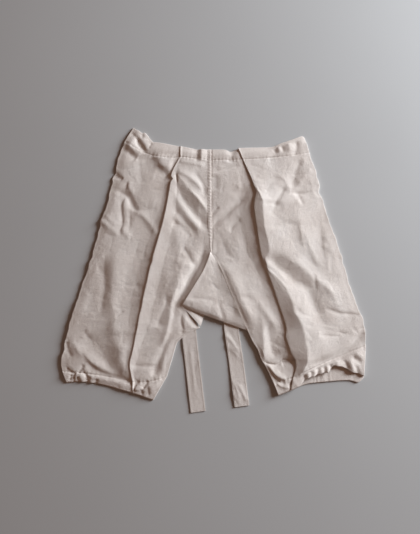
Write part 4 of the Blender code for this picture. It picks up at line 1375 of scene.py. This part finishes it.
class HAKAMA_OT_waist(bpy.types.Operator):
    """Gathers the elastic casings round the waist"""

    bl_idname = "hakama.waist"
    bl_label = "Waist casings"

    def execute(self, context):
        wall = context.scene.hakama_sizes.casing_wall
        for side, flat in (("left", (0.24, 0.034)), ("right", (0.26, 0.034))):
            leg = leg_cloth(side)
            cloth = with_edge_roll(leg.cloth[leg.waist], 1.5, 5.0, at_top=True)
            made = sheet_from(f"casing_waist_{side}", cloth, wall, looks()["casing"])
            place(made, "casing", f"waist_front_{side}")
        line = np.concatenate([part for side in SECTIONS for part in stretches(SECTIONS[side][0], 9)])
        edge = np.concatenate([smooth(part, EDGE_STEPS) for side in SECTIONS for part in WAIST_EDGES[side]])
        xy = rows_between(edge, line, CASING_COLUMNS, 9)
        x, y = parted(xy)
        ribs = 0.25 * (1 + np.sin(x * 0.9 + np.sin(x / 13.0) * 2)) * np.linspace(1, 0, 9)[:, None]
        made = sheet_from("casing_waist_back", lay(xy, back_z(x, y) + ribs), wall, looks()["casing"])
        place(made, "casing", "waist_back")
        return {"FINISHED"}


class HAKAMA_OT_centre_seam(bpy.types.Operator):
    """Lays the flat-felled strip down the front"""

    bl_idname = "hakama.centre_seam"
    bl_label = "Centre seam"

    def execute(self, context):
        height = top_surface(FRONT_PIECES[:4])
        line = resample(seam_line(), np.linspace(0, 1, 200))
        t = np.linspace(-1, 1, 25)
        x = line[:, :1] + strip_half(line[:, 1:]) * t
        y = np.repeat(line[:, 1:], len(t), axis=1)
        z = np.vectorize(lambda a, b: max(height(a + aside, b) for aside in (-1.2, 0.0, 1.2)))(x, y)

        # Its top is levelled down the seam, its left edge sinks in and its stitches draw it down
        top = np.pad(np.quantile(z, 0.8, axis=1), LEVEL_ROWS // 2, mode="edge")
        top = np.convolve(top, np.ones(LEVEL_ROWS) / LEVEL_ROWS, mode="valid")[:, None]
        z = np.maximum(blend(z, top, 0.7), z)
        z += 0.1 + 0.5 * t - 0.4 * hump(t + 1, 0.1) - 0.3 * hump(t - 1, 0.08)
        sway = np.sin(y / 17.0) * 2
        pull = 0.7 + 0.35 * np.sin(y * 2 * math.pi / 8.3 + sway + 1.2 * np.sign(t))
        z -= pull * hump(np.abs(t) - SEAM_STITCHES, 0.16)
        z += 0.14 * np.sin(y * 2 * math.pi / 6.3 + sway + 1.5 * t)
        wall = context.scene.hakama_sizes.wall * 0.8
        made = sheet_from("felled_strip", np.dstack([x, y, z]), wall, looks()["casing"])
        place(made, "casing", "centre_seam")
        return {"FINISHED"}


class HAKAMA_OT_cuffs(bpy.types.Operator):
    """Gathers the elastic casings at the hems"""

    bl_idname = "hakama.cuffs"
    bl_label = "Cuffs"

    def execute(self, context):
        wall = context.scene.hakama_sizes.casing_wall
        for side, flat in (("left", (0.22, 0.028)), ("right", (0.24, 0.033))):
            leg = leg_cloth(side)
            cloth = leg.cloth[leg.hem]
            bottom, back = 1.5, 5.0
            if side == "right":
                edge = cloth[-1, :, 2]
                bottom, back = np.minimum(np.maximum(edge - 1.7, EDGE_BOTTOM), edge - 0.05), 9.0
            cloth = with_edge_roll(cloth, bottom, back)
            made = sheet_from(f"casing_cuff_{side}", cloth, wall, looks()["casing"])
            place(made, "casing", f"cuff_{side}_front")
            made = sheet_from(f"casing_cuff_{side}_back", self.back(side), wall * 0.8, looks()["casing"])
            place(made, "casing", f"cuff_{side}_back")
        return {"FINISHED"}

    def back(self, side):
        """The casing's back half, lying on the floor with the elastic's small ribs."""
        line = np.concatenate(stretches(BACK_SECTIONS[side][-1], 12))
        edge = np.concatenate([smooth(part, EDGE_STEPS) for part in HEM_BACK_EDGES[side]])
        xy = rows_between(line, edge, CASING_COLUMNS, 16)
        x = xy[..., 0]
        down = np.linspace(0, 1, 16)[:, None]
        ribs = 0.5 + 0.5 * np.sin(x * 0.5 + np.sin(x / 5.3) * 2.2 + np.sin(x / 17.0) * 3)
        ribs = ribs * (0.55 + 0.45 * np.sin(x / 11.0 + 1.0)) * ease(down * 3) * ease((1.15 - down) * 4)
        z = BACK_Z + 0.1 + down * 0.9 + ribs * 0.4
        if side == "left":
            z = z * 0.6 + 0.05
        return with_edge_roll(lay(xy, z), BACK_Z, 3.0)


class HAKAMA_OT_ties(bpy.types.Operator):
    """Lays the two ties flat on the floor under the garment"""

    bl_idname = "hakama.ties"
    bl_label = "Ties"

    def execute(self, context):
        wall = context.scene.hakama_sizes.tie_wall
        t = np.linspace(-1, 1, 21)
        for side, line in TIE_LINES.items():
            middle, across = ribbon(line, 34)
            xy = middle[:, None] - across[:, None] * (t * TIE_WIDTH / 2)[:, None]
            x, y = parted(xy)
            wave = np.maximum(swell(x, y, TIE_SWELL[side], 0.5) + 0.5, 0)
            creases = fold_heights(x, y, (*TIE_FOLDS, *crumples(*TIE_CRUMPLES))) + 0.2
            hem = 0.2 * hump(np.abs(t) - 0.9, 0.1)
            free = ease((-92 - y) / 24.0)
            z = TIE_Z + free * (wave * 0.5 + np.maximum(creases, -0.1) * 0.7 + hem)
            made = sheet_from(f"strap_{side}", lay(xy, z), wall, looks()["tie"])
            place(made, "tie", f"tie_{side}")
        return {"FINISHED"}


def one_stitch():
    """The points and faces of a stitch along +X, one unit long and less than that thick."""
    deselect()
    bpy.ops.mesh.primitive_cylinder_add(vertices=6, radius=0.5, depth=1.0, rotation=(0, math.pi / 2, 0))
    made = bpy.context.active_object
    bpy.ops.object.transform_apply(location=False, rotation=True, scale=False)
    bpy.ops.object.mode_set(mode="EDIT")
    bpy.ops.mesh.select_all(action="SELECT")
    bpy.ops.mesh.quads_convert_to_tris()
    bpy.ops.object.mode_set(mode="OBJECT")
    points = np.array([v.co for v in made.data.vertices]) * (1.0, STITCH_FLAT, STITCH_FLAT)
    faces = np.array([tuple(face.vertices) for face in made.data.polygons])
    bpy.data.objects.remove(made)
    return points, faces


def sew(name, slot, lines, pieces, sizes, lift=0.12):
    """Rows of stitches along lines on some pieces, as one mesh. The ends of each stitch go into the cloth."""
    height = top_surface(pieces)
    shape, shape_faces = one_stitch()
    step = (sizes.stitch + sizes.stitch_gap) / MM
    long, thick = sizes.stitch / MM, sizes.thread / MM
    points, faces = [], []
    for line in lines:
        length = length_of(line)
        count = max(int(length / step), 1)
        starts = (np.arange(count) + 0.1) / count
        ends = np.minimum(starts + long / length, 1.0)
        for a, b in zip(resample(line, starts), resample(line, ends)):
            heights = [height(*a), height(*b)]
            if min(heights) <= 0.0:
                continue
            a, b = (np.array([*(end - MIDDLE), z + lift]) for end, z in zip((a, b), heights))
            along = unit(b - a)
            flat = unit(np.cross([0, 0, 1.0], along))
            up = np.cross(along, flat)
            placed = (a + b) / 2 + shape @ [b - a, flat * thick, up * thick]
            placed[np.abs(shape[:, 0]) > 0.4, 2] -= 0.1
            faces.append(shape_faces + len(shape) * len(points))
            points.append(placed * MM)
    mesh = bpy.data.meshes.new(name)
    mesh.from_pydata(np.concatenate(points).tolist(), [], np.concatenate(faces).tolist())
    made = bpy.data.objects.new(name, mesh)
    bpy.context.scene.collection.objects.link(made)
    only(made)
    bpy.ops.object.shade_smooth_by_angle(angle=math.radians(60))
    mesh.materials.append(looks()["thread"])
    place(made, slot)


class HAKAMA_OT_stitching(bpy.types.Operator):
    """Sews the seams, the casings and the ties' edges"""

    bl_idname = "hakama.stitching"
    bl_label = "Stitching"

    def execute(self, context):
        sizes = context.scene.hakama_sizes
        seam = seam_line()[:-8]
        aside = SEAM_STITCHES * strip_half(seam[:, 1:]) * (1.0, 0.0)
        sew("stitches_seam", "casing", [seam - aside, seam + aside], ("felled_strip",), sizes, lift=0.0)
        routes = [line for side in SECTIONS for line in stitch_routes(side)]
        sew("stitches_casings", "casing", routes, FRONT_PIECES, sizes)
        for side, line in TIE_LINES.items():
            middle, across = ribbon(line, 10)
            aside = across * (TIE_WIDTH / 2 - TIE_HEM)
            sew(f"stitches_tie_{side}", "tie", [middle + aside, middle - aside], (f"strap_{side}",), sizes)
        return {"FINISHED"}


class HAKAMA_OT_stage(bpy.types.Operator):
    """Sets the floor, the lights and the camera"""

    bl_idname = "hakama.stage"
    bl_label = "Stage"

    def execute(self, context):
        scene = context.scene
        studio = scene.hakama_studio
        deselect()
        bpy.ops.mesh.primitive_plane_add(size=FLOOR_WIDTH, location=(0, 0, -0.0003))
        floor = context.active_object
        floor.name = "floor"
        look = plain_look("Floor", tuple(scene.hakama_colours.floor), 3.0, 0.9, gloss=0.0)
        floor.data.materials.append(look)

        aim = Vector(((AIM[0] - MIDDLE[0]) * MM, (AIM[1] - MIDDLE[1]) * MM, 0.0))
        data = bpy.data.cameras.new("Camera")
        data.lens = studio.lens
        data.sensor_width = 36.0
        data.clip_start = 0.01
        camera = bpy.data.objects.new("Camera", data)
        camera.location = aim + Vector((0, -math.sin(studio.tilt), math.cos(studio.tilt))) * studio.distance
        camera.rotation_euler = (studio.tilt, 0, 0)
        scene.collection.objects.link(camera)
        scene.camera = camera
        self.key(scene, studio, aim)
        self.fill(scene, studio)
        scene.view_settings.view_transform = "Standard"
        return {"FINISHED"}

    def key(self, scene, studio, aim):
        """A round soft box, low on the right."""
        data = bpy.data.lights.new("Key", "AREA")
        data.shape = "DISK"
        data.size = studio.key_size
        data.energy = studio.key_power
        data.color = KEY_COLOUR
        light = bpy.data.objects.new("Key", data)
        scene.collection.objects.link(light)
        flat = math.cos(studio.key_angle)
        east, north = flat * math.cos(studio.key_turn), flat * math.sin(studio.key_turn)
        way = Vector((east, north, math.sin(studio.key_angle)))
        light.location = aim + way * studio.key_distance
        light.rotation_mode = "QUATERNION"
        light.rotation_quaternion = way.to_track_quat("Z", "Y")

    def fill(self, scene, studio):
        """Warm light from all round. The camera sees a plain grey backdrop there."""
        world = bpy.data.worlds.new("Studio")
        world.use_nodes = True
        tree = world.node_tree
        back = tree.nodes["Background"]
        seen = tree.nodes.new("ShaderNodeLightPath").outputs["Is Camera Ray"]
        feed(tree, back.inputs["Color"], mixed(tree, seen, FILL_COLOUR, BACKDROP_COLOUR))
        feed(tree, back.inputs["Strength"], studio.fill)
        scene.world = world


class HAKAMA_PT_panel(bpy.types.Panel):
    """Lists the hakama's pieces, sizes and colours"""

    bl_idname = "HAKAMA_PT_panel"
    bl_label = "Flat Hakama"
    bl_space_type = "VIEW_3D"
    bl_region_type = "UI"
    bl_category = "Hakama"

    def draw(self, context):
        for operator in OPERATORS:
            self.layout.operator(operator.bl_idname)
        for name in GROUPS:
            group = getattr(context.scene, name)
            for field in group.__annotations__:
                self.layout.prop(group, field)


OPERATORS = (
    HAKAMA_OT_ties,
    HAKAMA_OT_backs,
    HAKAMA_OT_fronts,
    HAKAMA_OT_gusset,
    HAKAMA_OT_waist,
    HAKAMA_OT_centre_seam,
    HAKAMA_OT_cuffs,
    HAKAMA_OT_stitching,
    HAKAMA_OT_stage,
)
GROUPS = {"hakama_sizes": HakamaSizes, "hakama_colours": HakamaColours, "hakama_studio": HakamaStudio}
CLASSES = (*GROUPS.values(), *OPERATORS, HAKAMA_PT_panel)


def register():
    for cls in CLASSES:
        bpy.utils.register_class(cls)
    for name, group in GROUPS.items():
        setattr(bpy.types.Scene, name, bpy.props.PointerProperty(type=group))


def unregister():
    for name in GROUPS:
        delattr(bpy.types.Scene, name)
    for cls in reversed(CLASSES):
        bpy.utils.unregister_class(cls)


def main():
    register()
    for operator in OPERATORS:
        group, name = operator.bl_idname.split(".")
        getattr(getattr(bpy.ops, group), name)()


if __name__ == "__main__":
    main()
